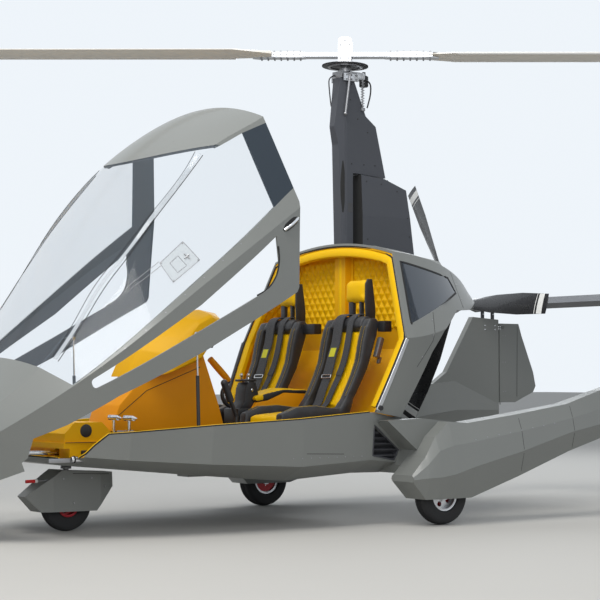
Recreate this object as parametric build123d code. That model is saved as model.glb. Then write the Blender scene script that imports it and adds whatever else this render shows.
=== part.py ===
# Side-by-side two-seat gyroplane with a forward-opening canopy, twin booms and a pusher propeller.
# Frame: +X forward, +Y to port, +Z up, millimetres. Origin on the ground under the rotor hub.
# The canopy is drawn shut, where it meets the tub and the cowl, and is then carried to its open place.
import math
import os

from build123d import *

os.makedirs("parts", exist_ok=True)

PORT = 1
STARBOARD = -1
SIDES = (("port", PORT), ("starboard", STARBOARD))

# Clearances
SEAT_GAP = 0.3
FIT = 0.05

# Walls of the hull
TUB_WALL = 20.0
COWL_WALL = 14.0
CANOPY_WALL = 14.0
GLASS_WALL = 5.0

# Tub stations, from the rear wall to the nose
# x, half width at the top, half width and height of the chine, half width and height of the keel
TUB_STATIONS = (
    (165.0, 770.0, 742.0, 362.0, 540.0, 296.0),
    (400.0, 800.0, 762.0, 385.0, 560.0, 300.0),
    (900.0, 812.0, 770.0, 360.0, 560.0, 270.0),
    (1500.0, 796.0, 740.0, 390.0, 520.0, 322.0),
    (1950.0, 680.0, 625.0, 420.0, 400.0, 365.0),
    (2170.0, 540.0, 490.0, 440.0, 290.0, 385.0),
    (2245.0, 450.0, 400.0, 444.0, 200.0, 398.0),
)
TUB_TOP = 760.0
TUB_ROOM_X = (235.0, 2225.0)

# Side line of the tub's sill, x and z, from the rear wall past the foot of the rim to the nose
SILL_LINE = ((215.0, 632.0), (400.0, 664.0), (940.0, 627.0), (1480.0, 602.0), (2050.0, 560.0))
SILL_DROP = ((2110.0, 500.0), (2165.0, 432.0), (2330.0, 420.0))

# Canopy stations, shut
# x, crown height, half width and height of the shoulder, half width and height of the belt, half width low
CANOPY_STATIONS = (
    (60.0, 1712.0, 618.0, 1628.0, 852.0, 1110.0, 842.0),
    (600.0, 1668.0, 606.0, 1550.0, 850.0, 1014.0, 842.0),
    (1050.0, 1472.0, 600.0, 1350.0, 848.0, 925.0, 842.0),
    (1500.0, 1195.0, 580.0, 1075.0, 830.0, 827.0, 826.0),
    (1950.0, 940.0, 500.0, 855.0, 716.0, 724.0, 708.0),
    (2300.0, 790.0, 370.0, 730.0, 500.0, 640.0, 490.0),
    (2600.0, 672.0, 210.0, 640.0, 285.0, 575.0, 270.0),
    (2760.0, 590.0, 80.0, 575.0, 105.0, 540.0, 90.0),
)
CANOPY_FLOOR = 392.0

# Cowl stations, from the canopy's edge to the propeller, with the same columns
COWL_STATIONS = (
    (430.0, 1712.0, 618.0, 1628.0, 852.0, 1110.0, 800.0),
    (90.0, 1712.0, 618.0, 1628.0, 850.0, 1110.0, 790.0),
    (-300.0, 1655.0, 540.0, 1580.0, 720.0, 1200.0, 640.0),
    (-740.0, 1470.0, 320.0, 1435.0, 400.0, 1350.0, 330.0),
)
COWL_FLOOR = 600.0
# Side line of the rim, x and z, from its foot to the crown
RIM_LINE = ((400.0, 664.0), (205.0, 1109.0), (112.0, 1622.0), (94.0, 1760.0))
# Tail end and underside of the cowl, x and z, down to the foot of its sloping rear wall
COWL_TAIL = ((-720.0, 1800.0), (-755.0, 1350.0))
COWL_UNDERSIDE = ((-700.0, 1300.0), (-365.0, 1282.0), (-160.0, 1155.0), (-35.0, 1020.0), (215.0, 632.0))
COWL_ROOM_REAR = -740.0

# Raised deck on top of the cowl: x, low height, top height, half width low, half width at the top
DECK_STATIONS = ((0.0, 1600.0, 1690.0, 430.0, 300.0), (-594.0, 1500.0, 1617.0, 330.0, 225.0))

# Canopy opening: the carriage runs forward on two bars while the canopy tilts about its pivot
TILT_PIVOT = (2200.0, 455.0)
TILT_OPEN = 24.3
CARRIAGE_TRAVEL = 285.0
CARRIAGE_RISE = 5.0

# Wheels
MAIN_TYRE_R = 175.0
MAIN_TYRE_W = 100.0
MAIN_RIM_R = 92.0
NOSE_TYRE_R = 150.0
NOSE_TYRE_W = 88.0
NOSE_RIM_R = 68.0
NOSE_AXLE_X = 2000.0
BOOM_Y = 920.0

# Rotor and propeller
ROTOR_R = 4300.0
ROTOR_HUB_Z = 2930.0
ROTOR_AZIMUTH = -42.0
ROTOR_TILT = 1.5
BLADE_CHORD = 290.0
BLADE_THICK = 36.0
PROP_X = -900.0
PROP_Z = 1360.0
PROP_R = 900.0


def side_profile(points):
    """Face in the side plane from (x, z) corners."""
    return make_face(Polyline(*[(x, 0, z) for x, z in points], close=True))


def side_prism(points, half_width):
    """Side profile carried across the craft."""
    return extrude(side_profile(points), amount=half_width, dir=(0, 1, 0), both=True)


def one_side_prism(points, side, y_in, y_out):
    """Side profile carried from one distance off the centre plane to another, on one side."""
    face = side_profile(points).moved(Location((0, side * y_in, 0)))
    return extrude(face, amount=y_out - y_in, dir=(0, side, 0))


def grown_prism(points, growth, half_width):
    """Side profile grown or shrunk by one distance all round, carried across the craft."""
    face = offset(side_profile(points), amount=growth, kind=Kind.INTERSECTION)
    return extrude(face, amount=half_width, dir=(0, 1, 0), both=True)


def plan_prism(points, z0, z1):
    """Even plan outline, given as (x, half width) from front to rear, carried up between two heights."""
    outline = [(x, y, z0) for x, y in points] + [(x, -y, z0) for x, y in reversed(points)]
    return extrude(make_face(Polyline(*outline, close=True)), amount=z1 - z0, dir=(0, 0, 1))


def front_prism(points, x0, x1, y=0.0):
    """Even front outline, given as (half width, z), carried along X."""
    outline = [(x0, y + a, z) for a, z in points] + [(x0, y - a, z) for a, z in reversed(points)]
    return extrude(make_face(Polyline(*outline, close=True)), amount=x1 - x0, dir=(1, 0, 0))


def box_between(x0, x1, y0, y1, z0, z1):
    low = (min(x0, x1), min(y0, y1), min(z0, z1))
    size = (abs(x1 - x0), abs(y1 - y0), abs(z1 - z0))
    return Pos(*[a + s / 2 for a, s in zip(low, size)]) * Box(*size)


def cylinder_between(start, end, radius):
    """Round bar from one point to another."""
    axis = Vector(*end) - Vector(*start)
    plane = Plane(origin=start, z_dir=axis)
    return extrude(plane * Circle(radius), amount=axis.length)


def largest(shape):
    return max(shape.solids(), key=lambda s: s.volume)


def tub_section(station, wall):
    x, w_top, w_chine, z_chine, w_keel, z_keel = station
    half = (
        (w_top - wall, TUB_TOP + wall),
        (w_chine - wall, z_chine + wall * 0.3),
        (w_keel - wall * 0.5, z_keel + wall),
    )
    outline = [(x, y, z) for y, z in half] + [(x, -y, z) for y, z in reversed(half)]
    return make_face(Polyline(*outline, close=True))


def tub_loft(wall):
    return loft([tub_section(s, wall) for s in TUB_STATIONS], ruled=True)


def hull_section(station, floor, wall):
    """Cabin section: arched crown between the shoulders, flat sides to the belt and down."""
    x, crown, w_shoulder, z_shoulder, w_belt, z_belt, w_low = station
    corners = (
        (w_shoulder - wall * 0.8, z_shoulder - wall * 0.8),
        (w_belt - wall, z_belt),
        (w_low - wall, floor + wall),
    )
    shoulder, belt, low = [(x, y, z) for y, z in corners]
    far_shoulder, far_belt, far_low = [(x, -y, z) for y, z in corners]
    edges = [
        ThreePointArc(far_shoulder, (x, 0, crown - wall), shoulder),
        Line(shoulder, belt),
        Line(belt, low),
        Line(low, far_low),
        Line(far_low, far_belt),
        Line(far_belt, far_shoulder),
    ]
    return make_face(Wire(edges))


def hull_loft(stations, floor, wall):
    return loft([hull_section(s, floor, wall) for s in stations], ruled=False)


def opened(shape):
    """Rigid motion of the canopy: tilt about its pivot, then run forward with the carriage."""
    pivot_x, pivot_z = TILT_PIVOT
    turned = Pos(pivot_x, 0, pivot_z) * Rot(0, TILT_OPEN, 0) * Pos(-pivot_x, 0, -pivot_z)
    return Pos(CARRIAGE_TRAVEL, 0, CARRIAGE_RISE) * turned * shape


def below_sill():
    """Side outline of all that lies under the sill line, a seat gap clear of the cowl."""
    points = [(0.0, SILL_LINE[0][1] - SEAT_GAP)]
    points += [(x, z - SEAT_GAP) for x, z in SILL_LINE + SILL_DROP]
    points += [(2500.0, SILL_DROP[-1][1]), (2500.0, 100.0), (0.0, 100.0)]
    return points


nodes = {}

# Tub: the lower half of the cabin, open along its top, with a louvred intake in each rear corner
GRILLE = ((388.0, 588.0), (388.0, 410.0), (214.0, 380.0), (182.0, 438.0))
GRILLE_DEPTH = 64.0
GRILLE_BACK = 16.0
LOUVRES = 6
LOUVRE_THICK = 5.0
LOUVRE_DEPTH = 44.0
LOUVRE_TILT = 30.0
LOUVRE_BITE = 5.0
JACK_PAD_X = (1100.0, 1220.0)
JACK_PAD_HALF = 60.0
JACK_PAD_Z = (280.0, 302.0)
tub_inner = tub_loft(TUB_WALL) & box_between(*TUB_ROOM_X, -1000, 1000, 0, 1000)
pocket_y = TUB_STATIONS[0][1] - GRILLE_DEPTH
duct_y = pocket_y - GRILLE_BACK
for side in (PORT, STARBOARD):
    duct_front = GRILLE[0][0] + GRILLE_BACK
    duct = box_between(
        TUB_ROOM_X[0] - 1, duct_front, side * duct_y, side * 1000, 0, GRILLE[0][1] + GRILLE_BACK
    )
    tub_inner = tub_inner - duct
tub = (tub_loft(0.0) & side_prism(below_sill(), 1000.0)) - tub_inner
grille_length = GRILLE[0][0] - GRILLE[3][0]
louvre_step = (GRILLE[0][1] - GRILLE[2][1]) / LOUVRES
for side in (PORT, STARBOARD):
    tub = tub - one_side_prism(GRILLE, side, pocket_y, 1000.0)
    louvre_room = grown_prism(GRILLE, LOUVRE_BITE, 1000.0) & box_between(
        0, 500, side * pocket_y, side * 756, 0, 700
    )
    for n in range(LOUVRES):
        slat = Rot(side * LOUVRE_TILT, 0, 0) * Box(grille_length + 40, LOUVRE_DEPTH, LOUVRE_THICK)
        slat = Pos(
            (GRILLE[0][0] + GRILLE[3][0]) / 2,
            side * (pocket_y + 26),
            GRILLE[2][1] + louvre_step * (n + 0.5),
        ) * slat
        tub = tub + (slat & louvre_room)
nodes["tub_shell"] = tub + box_between(*JACK_PAD_X, -JACK_PAD_HALF, JACK_PAD_HALF, *JACK_PAD_Z)

# Cowl: the rear of the cabin, hollow, with the rim that the canopy shuts on and a raised deck on top


def cowl_room(margin):
    """Inside of the cowl seen from the side, a margin clear of its underside, open at the rim and the tub."""
    foot_x, foot_z = COWL_UNDERSIDE[-1]
    above_x, above_z = COWL_UNDERSIDE[-2]
    reach = 80.0
    low = (foot_x + reach * (foot_x - above_x) / (above_z - foot_z), foot_z - reach)
    points = ((900.0, 1900.0), (COWL_ROOM_REAR, 1900.0), (COWL_ROOM_REAR, COWL_UNDERSIDE[0][1]))
    points += COWL_UNDERSIDE[1:-1] + (low, (900.0, low[1]))
    return grown_prism(points, -margin, 1200.0)


def deck_loft(growth):
    faces = []
    for x, z_low, z_top, w_low, w_top in DECK_STATIONS:
        half = ((w_top + growth, z_top + growth), (w_low + growth, z_low))
        outline = [(x, y, z) for y, z in half] + [(x, -y, z) for y, z in reversed(half)]
        faces.append(make_face(Polyline(*outline, close=True)))
    return loft(faces, ruled=True)


cowl_outer = hull_loft(COWL_STATIONS, COWL_FLOOR, 0.0)
cowl_inner = hull_loft(COWL_STATIONS, COWL_FLOOR, COWL_WALL)
cowl_region = side_prism(RIM_LINE + COWL_TAIL + COWL_UNDERSIDE, 1200.0)
cowl_solid = (cowl_outer & cowl_region) + deck_loft(0.0)
cowl = cowl_solid - (cowl_inner & cowl_room(COWL_WALL))

# Rear side windows, let into the cowl behind the rim, x and z
REAR_WINDOW = ((75.0, 1570.0), (-390.0, 1489.0), (-435.0, 1396.0), (140.0, 1186.0))
WINDOW_GAP = 0.3
PANE_DEPTH = (1.0, 7.0)
pane_skin = hull_loft(COWL_STATIONS, COWL_FLOOR, PANE_DEPTH[0]) - hull_loft(
    COWL_STATIONS, COWL_FLOOR, PANE_DEPTH[1]
)
pane_room = grown_prism(REAR_WINDOW, -WINDOW_GAP, 1000.0)
for name, side in SIDES:
    cowl = cowl - one_side_prism(REAR_WINDOW, side, 300.0, 1000.0)
    nodes[f"rear_window_{name}"] = pane_skin & pane_room & box_between(
        -800, 300, side * 300, side * 1000, 900, 1800
    )
nodes["cowl_shell"] = cowl

# Canopy outline shut, x and z: rear edge up from the foot, front cut behind the nose, and the lower edge
CANOPY_REAR = ((440.0, 668.0), (218.0, 1106.0), (122.0, 1622.0), (104.0, 1760.0))
NOSE_CUT = ((2275.0, 0.0), (2264.0, 440.0), (2232.0, 455.0))
LOWER_EDGE = ((2180.0, 543.0), (2020.0, 547.0), (1731.0, 584.0), (1158.0, 596.0), (465.0, 648.0))
BELT_SLOPE = -0.2625
BELT_AT = (220.0, 1181.0)
NOSE_SEAM = (1925.0, 734.0)
NOSE_SEAM_LEAN = 0.28
OPENING_POST = ((470.0, 991.0), (545.0, 764.0))
OPENING_RAIL = ((681.0, 738.0), (1144.0, 707.0), (1704.0, 676.0))
OPENING_FRONT = ((1838.0, 669.0), (1838.0, 721.0))
OPENING_BELT = (1094.0, 834.0)
OPENING_TIP_R = 22.0
ROOF_EDGE = 1572.0
ARCH_FRONT = ((385.0, 1139.0), (296.0, ROOF_EDGE))
ROOF_PLAN_SIDE = (300.0, 672.0)
ROOF_PLAN_CORNER = (500.0, 605.0)
ROOF_PLAN_TIP = 741.0
GLASS_Y = 250.0
SEAM_LINE = (
    (100.0, 1620.0), (600.0, 1550.0), (1050.0, 1350.0), (1500.0, 1075.0), (1950.0, 855.0), (2100.0, 790.0)
)


def belt_z(x):
    return BELT_AT[1] + BELT_SLOPE * (x - BELT_AT[0])


def seam_x(z):
    return NOSE_SEAM[0] + NOSE_SEAM_LEAN * (z - NOSE_SEAM[1])


# Canopy skins and the regions that split them, seen from the side
canopy_outer = hull_loft(CANOPY_STATIONS, CANOPY_FLOOR, 0.0)
crown_x = CANOPY_REAR[-1][0]
canopy_cut = side_prism(
    CANOPY_REAR + ((crown_x, 2200.0), (3200.0, 2200.0), (3200.0, 0.0)) + NOSE_CUT + LOWER_EDGE, 1200.0
)
shut_skin = (canopy_outer - hull_loft(CANOPY_STATIONS, CANOPY_FLOOR, CANOPY_WALL)) & canopy_cut
nose_region = side_prism(
    ((seam_x(200.0), 200.0), (seam_x(1400.0), 1400.0), (3200.0, 1400.0), (3200.0, 200.0)), 1200.0
)
frame_front = NOSE_SEAM[0] + 200.0
frame_points = (
    (100.0, belt_z(100.0)), (frame_front, belt_z(frame_front)), (frame_front, 300.0), (100.0, 300.0)
)
frame_region = side_prism(frame_points, 1200.0)
opening_points = (OPENING_POST[0], OPENING_BELT) + OPENING_FRONT[::-1] + OPENING_RAIL[::-1] + (
    OPENING_POST[1],
)
opening = side_prism(opening_points, 1200.0)
opening = fillet(opening.edges().filter_by(Axis.Y).group_by(Axis.X)[-1], OPENING_TIP_R)
roof_side = side_prism(
    (
        (0.0, ROOF_EDGE),
        (300.0, ROOF_EDGE),
        (520.0, 1552.0),
        (900.0, 1400.0),
        (900.0, 1900.0),
        (0.0, 1900.0),
    ),
    1200.0,
)
roof_front_arc = ThreePointArc(
    (ROOF_PLAN_CORNER[0], ROOF_PLAN_CORNER[1], 1300.0), (ROOF_PLAN_TIP, 0, 1300.0), (
        ROOF_PLAN_CORNER[0], -ROOF_PLAN_CORNER[1], 1300.0
    )
)
roof_back = Polyline(
    (ROOF_PLAN_CORNER[0], -ROOF_PLAN_CORNER[1], 1300.0),
    (ROOF_PLAN_SIDE[0], -ROOF_PLAN_SIDE[1], 1300.0),
    (ROOF_PLAN_SIDE[0], -1000.0, 1300.0),
    (0, -1000.0, 1300.0),
    (0, 1000.0, 1300.0),
    (ROOF_PLAN_SIDE[0], 1000.0, 1300.0),
    (ROOF_PLAN_SIDE[0], ROOF_PLAN_SIDE[1], 1300.0),
    (ROOF_PLAN_CORNER[0], ROOF_PLAN_CORNER[1], 1300.0),
)
roof_plan = make_face(Wire([roof_front_arc] + list(roof_back.edges())))
roof_region = roof_side & extrude(roof_plan, amount=700.0, dir=(0, 0, 1))
arch_points = (
    (0.0, belt_z(0.0)), (ARCH_FRONT[0][0], belt_z(ARCH_FRONT[0][0]))
) + ARCH_FRONT[1:] + ((0.0, ROOF_EDGE),)
arch_region = side_prism(arch_points, 1200.0)

# Nose, side frames, rear arch and roof hood from the thick skin, the glazing from the thin one
behind_nose = shut_skin - nose_region
above_belt = behind_nose - frame_region
nodes["nose_shell"] = opened(shut_skin & nose_region)
nodes["roof_panel"] = opened(above_belt & roof_region)
nodes["rear_arch"] = opened((above_belt & arch_region) - roof_region)
port_frame = (behind_nose & frame_region & box_between(0, 2300, GLASS_Y, 1100, 300, 1400)) - opening
side_frames = {"port": port_frame, "starboard": mirror(port_frame, about=Plane.XZ)}
glazing = (canopy_outer - hull_loft(CANOPY_STATIONS, CANOPY_FLOOR, GLASS_WALL)) & canopy_cut
glazing = glazing - nose_region - frame_region - arch_region - roof_region
nodes["windscreen"] = opened(glazing & side_prism(SEAM_LINE + ((2100.0, 2000.0), (100.0, 2000.0)), 1200.0))
side_glazing = glazing & side_prism(SEAM_LINE + ((2100.0, 300.0), (100.0, 300.0)), 1200.0)
for name, side in SIDES:
    nodes[f"side_glass_{name}"] = opened(
        side_glazing & box_between(0, 2300, side * GLASS_Y, side * 1100, 300, 1700)
    )

# Rear cabin lining on the cowl's sides and its sloping rear wall, and the bulkhead above it
LINER_THICK = 12.0
RIM_INSET = 4.0
BULKHEAD_X = -20.0
BULKHEAD_THICK = 30.0
COLUMN_HALF = 55.0
COLUMN_FRONT = 45.0
liner_outer = hull_loft(COWL_STATIONS, COWL_FLOOR, COWL_WALL + SEAT_GAP)
liner_inner = hull_loft(COWL_STATIONS, COWL_FLOOR, COWL_WALL + LINER_THICK)
rim_inset = tuple((x - RIM_INSET, z) for x, z in RIM_LINE)
liner_floor = SILL_LINE[0][1] + SEAT_GAP
liner_span = side_prism(
    ((rim_inset[0][0], rim_inset[0][1] + SEAT_GAP),) + rim_inset[1:] + (
        (BULKHEAD_X, 1760.0), (BULKHEAD_X, liner_floor), (SILL_LINE[0][0], liner_floor)
    ),
    1200.0,
)
lined_room = liner_inner & cowl_room(COWL_WALL + LINER_THICK)
nodes["cabin_liner"] = ((liner_outer & cowl_room(COWL_WALL + SEAT_GAP)) - lined_room) & liner_span
bulkhead_front = BULKHEAD_X - SEAT_GAP
slab = box_between(bulkhead_front - BULKHEAD_THICK, bulkhead_front, -1200, 1200, 500, 2000)
column_wall = COWL_WALL + LINER_THICK + SEAT_GAP
column_room = hull_loft(COWL_STATIONS, COWL_FLOOR, column_wall) & cowl_room(column_wall)
column = box_between(bulkhead_front, COLUMN_FRONT, -COLUMN_HALF, COLUMN_HALF, 700, 2000) & column_room
nodes["rear_bulkhead"] = (liner_outer & cowl_room(COWL_WALL + SEAT_GAP) & slab) + column

# Engine, one plain block between the bulkhead and the propeller
ENGINE_REAR_X = -500.0
ENGINE_HALF = 240.0
ENGINE_Z = (1318.0, 1530.0)
engine_front = bulkhead_front - BULKHEAD_THICK - SEAT_GAP
nodes["engine_block"] = box_between(ENGINE_REAR_X, engine_front, -ENGINE_HALF, ENGINE_HALF, *ENGINE_Z)

# Room inside the tub, a seat gap clear of its walls, and what stands on the floor cut to it
tub_room = tub_loft(TUB_WALL + SEAT_GAP) & box_between(
    TUB_ROOM_X[0] + SEAT_GAP, TUB_ROOM_X[1] - SEAT_GAP, -1000, 1000, 0, 600
)


def on_floor(shape):
    """Stand a piece on the tub's floor: trim what reaches below the floor's surface."""
    return (shape & tub_room) + (shape & box_between(-500, 3000, -1000, 1000, 600, 3000))


# Foot box in two layers, with channels for the canopy's bars and pivot tube and a hole for the nose leg
BAR_Y = 230.0
BAR_R = 12.0
PIVOT_TUBE_R = 14.0
CHANNEL_CLEAR = 7.0
FOOTBOX_HALF = 375.0
FOOTBOX_X = (1900.0, 2215.0)
FOOTBOX_TOP = 622.0
FOOTBOX_SEAM = 512.0
FOOTBOX_STEP = 12.0
FOOTBOX_BEVEL = 60.0
LEG_R = 22.0
LEG_CLEAR = 6.0
footbox_low = box_between(*FOOTBOX_X, -FOOTBOX_HALF, FOOTBOX_HALF, 300, FOOTBOX_SEAM)
upper_half = FOOTBOX_HALF - FOOTBOX_STEP
footbox_high = box_between(
    FOOTBOX_X[0] + FOOTBOX_STEP,
    FOOTBOX_X[1] - FOOTBOX_STEP,
    -upper_half,
    upper_half,
    FOOTBOX_SEAM - 1,
    FOOTBOX_TOP,
)
footbox_high = chamfer(footbox_high.edges().filter_by(Axis.Y).group_by(Axis.Z)[-1], FOOTBOX_BEVEL)
footbox = on_floor(footbox_low + footbox_high)
channel_top = TILT_PIVOT[1] + CARRIAGE_RISE + PIVOT_TUBE_R + CHANNEL_CLEAR
channel_half = BAR_R + CHANNEL_CLEAR + 5.0
for side in (PORT, STARBOARD):
    y = side * BAR_Y
    footbox = footbox - box_between(1800, 2300, y - channel_half, y + channel_half, 300, channel_top)
footbox = footbox - box_between(
    TILT_PIVOT[0] - PIVOT_TUBE_R - CHANNEL_CLEAR, 2300, -500, 500, 420, channel_top
)
footbox = footbox - cylinder_between((NOSE_AXLE_X, 0, 300), (NOSE_AXLE_X, 0, 530), LEG_R + LEG_CLEAR)
nodes["footbox"] = largest(footbox)

# Instrument hood, faceted from its side, plan and front outlines, on a pedestal and the centre console
POD_PROFILE = (
    (1000.0, 1150.0), (1090.0, 1235.0), (1230.0, 1225.0), (1600.0, 980.0), (1640.0, 880.0), (1240.0, 960.0)
)
POD_PLAN = ((1660.0, 60.0), (1560.0, 150.0), (1200.0, 250.0), (1060.0, 240.0), (980.0, 190.0))
POD_FRONT = ((170.0, 1260.0), (250.0, 1150.0), (250.0, 860.0))
DISPLAY_HALF = 150.0
DISPLAY_Z = (1010.0, 1130.0)
DISPLAY_DEPTH = 30.0
PEDESTAL_X = (1240.0, 1560.0)
PEDESTAL_HALF = 110.0
CONSOLE_X = (430.0, 1700.0)
CONSOLE_HALF = 130.0
CONSOLE_TOP = 555.0
pod = side_prism(POD_PROFILE, 300.0) & plan_prism(POD_PLAN, 800.0, 1300.0) & front_prism(
    POD_FRONT, 900.0, 1700.0
)
nodes["instrument_pod"] = pod - box_between(
    900, 1000 + 3 * DISPLAY_DEPTH, -DISPLAY_HALF, DISPLAY_HALF, *DISPLAY_Z
)
pod_under = (POD_PROFILE[-2], POD_PROFILE[-1])
under_slope = (pod_under[0][1] - pod_under[1][1]) / (pod_under[0][0] - pod_under[1][0])
pedestal_top = [pod_under[1][1] - SEAT_GAP * 1.1 + under_slope * (x - pod_under[1][0]) for x in PEDESTAL_X]
pedestal_low = CONSOLE_TOP + SEAT_GAP
pedestal = side_prism(
    (
        (PEDESTAL_X[0], pedestal_top[0]),
        (PEDESTAL_X[1], pedestal_top[1]),
        (PEDESTAL_X[1] - 60.0, pedestal_low),
        (PEDESTAL_X[0] - 50.0, pedestal_low),
    ),
    PEDESTAL_HALF,
)
nodes["pod_pedestal"] = pedestal & plan_prism(
    ((PEDESTAL_X[1], 70.0), (PEDESTAL_X[0] + 100.0, PEDESTAL_HALF), (PEDESTAL_X[0] - 60.0, PEDESTAL_HALF)),
    500.0,
    1000.0,
)
nodes["centre_console"] = on_floor(box_between(*CONSOLE_X, -CONSOLE_HALF, CONSOLE_HALF, 200, CONSOLE_TOP))

# Seats: a base and back between raised bolsters, and headrests on two posts
SEAT_Y = 362.0
SEAT_HALF = 225.0
BOLSTER_WIDTH = 75.0
SEAT_FOOT_Z = 250.0
SEAT_TOP_Z = 1232.0
PANEL_PROFILE = (
    (950.0, SEAT_FOOT_Z),
    (965.0, 535.0),
    (520.0, 520.0),
    (270.0, 1215.0),
    (240.0, SEAT_TOP_Z),
    (150.0, SEAT_TOP_Z),
    (130.0, 1200.0),
    (345.0, SEAT_FOOT_Z),
)
BOLSTER_PROFILE = (
    (960.0, SEAT_FOOT_Z),
    (985.0, 520.0),
    (950.0, 562.0),
    (600.0, 585.0),
    (480.0, 700.0),
    (345.0, 1090.0),
    (255.0, 1215.0),
    (150.0, 1215.0),
    (130.0, 1190.0),
    (345.0, SEAT_FOOT_Z),
)
HEADREST_PROFILE = (
    (208.0, 1300.0), (226.0, 1330.0), (222.0, 1425.0), (190.0, 1450.0), (150.0, 1445.0), (140.0, 1300.0)
)
HEADREST_HALF = 95.0
HEADREST_POST_Y = 45.0
HEADREST_POST_R = 9.0
HEADREST_POST_X = 190.0
headrests = []
for name, side in SIDES:
    inner = SEAT_Y - SEAT_HALF
    outer = SEAT_Y + SEAT_HALF
    seat = one_side_prism(PANEL_PROFILE, side, inner + BOLSTER_WIDTH, outer - BOLSTER_WIDTH)
    seat = seat + one_side_prism(BOLSTER_PROFILE, side, inner, inner + BOLSTER_WIDTH)
    seat = seat + one_side_prism(BOLSTER_PROFILE, side, outer - BOLSTER_WIDTH, outer)
    waist = front_prism(
        ((SEAT_HALF, 200.0), (SEAT_HALF, 950.0), (SEAT_HALF - 45.0, 1300.0)), -100.0, 1100.0, side * SEAT_Y
    )
    nodes[f"seat_{name}"] = on_floor(seat & waist)
    pad = one_side_prism(HEADREST_PROFILE, side, SEAT_Y - HEADREST_HALF, SEAT_Y + HEADREST_HALF)
    for offset_y in (-HEADREST_POST_Y, HEADREST_POST_Y):
        y = side * SEAT_Y + offset_y
        post_foot = (HEADREST_POST_X, y, SEAT_TOP_Z + SEAT_GAP)
        pad = pad + cylinder_between(
            post_foot, (HEADREST_POST_X, y, HEADREST_PROFILE[0][1] + 10.0), HEADREST_POST_R
        )
    headrests.append(pad)
nodes["headrests"] = Compound(children=headrests)
ARMREST_PROFILE = (
    (480.0, CONSOLE_TOP + SEAT_GAP),
    (480.0, 690.0),
    (520.0, 702.0),
    (790.0, 690.0),
    (870.0, 640.0),
    (860.0, CONSOLE_TOP + SEAT_GAP),
)
ARMREST_HALF = 95.0
nodes["armrest"] = side_prism(ARMREST_PROFILE, ARMREST_HALF)

# Pedals with a crossbar on a post, and control levers with a bent grip
PEDAL_X = 1850.0
PEDAL_APART = 85.0
PEDAL_Z = 640.0
PEDAL_BAR_HALF = 48.0
PEDAL_BAR_R = 11.0
PEDAL_POST_R = 9.0
STICK_POINTS = ((1080.0, 200.0), (1080.0, 640.0), (1120.0, 730.0), (1165.0, 835.0))
STICK_R = 12.0
GRIP_R = 21.0
pedals = []
sticks = []
for side in (PORT, STARBOARD):
    for offset_y in (-PEDAL_APART, PEDAL_APART):
        y = side * SEAT_Y + offset_y
        post = on_floor(cylinder_between((PEDAL_X, y, 300), (PEDAL_X, y, PEDAL_Z), PEDAL_POST_R))
        bar = cylinder_between(
            (PEDAL_X, y - PEDAL_BAR_HALF, PEDAL_Z), (PEDAL_X, y + PEDAL_BAR_HALF, PEDAL_Z), PEDAL_BAR_R
        )
        pedals.append(post + bar)
    y = side * SEAT_Y
    foot, bend, grip_low, grip_top = [(x, y, z) for x, z in STICK_POINTS]
    stick = on_floor(cylinder_between(foot, bend, STICK_R)) + Pos(*bend) * Sphere(STICK_R)
    stick = stick + cylinder_between(bend, grip_low, STICK_R) + cylinder_between(grip_low, grip_top, GRIP_R)
    sticks.append(stick + Pos(*grip_top) * Sphere(GRIP_R))
nodes["pedals"] = Compound(children=pedals)
nodes["control_sticks"] = Compound(children=sticks)

# Mast, bevelled along its front, and the intake fairing behind it, both seated on the cowl and its deck
MAST_HALF = 52.0
MAST_TOP = ROTOR_HUB_Z - 150.0
MAST_PROFILE = (
    (67.0, MAST_TOP),
    (109.0, 2465.0),
    (82.0, 2350.0),
    (61.0, 1703.0),
    (60.0, 1500.0),
    (-20.0, 1500.0),
    (-20.0, 2172.0),
    (-286.0, 2154.0),
    (-206.0, 2482.0),
    (-125.0, 2543.0),
    (-24.0, MAST_TOP),
)
MAST_PLAN = ((130.0, 18.0), (30.0, MAST_HALF), (-300.0, MAST_HALF))
FAIRING_HALF = 90.0
FAIRING_TOP_HALF = 70.0
FAIRING_PROFILE = (
    (-70.0, 1450.0), (-68.0, 2161.0), (-258.0, 2145.0), (-435.0, 2082.0), (-493.0, 1670.0), (-500.0, 1450.0)
)
FAIRING_FRONT = ((FAIRING_TOP_HALF, 2300.0), (FAIRING_HALF, 1900.0), (FAIRING_HALF, 1400.0))
roof_cut = hull_loft(COWL_STATIONS, COWL_FLOOR, -SEAT_GAP) + deck_loft(SEAT_GAP)
mast = side_prism(MAST_PROFILE, MAST_HALF) & plan_prism(MAST_PLAN, 1000.0, 3000.0)
nodes["mast_pylon"] = largest(mast - roof_cut)
fairing = side_prism(FAIRING_PROFILE, FAIRING_HALF) & front_prism(FAIRING_FRONT, -600.0, 0.0)
fairing = fairing - roof_cut - grown_prism(MAST_PROFILE, SEAT_GAP, MAST_HALF + SEAT_GAP)
nodes["intake_fairing"] = largest(fairing)

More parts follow.
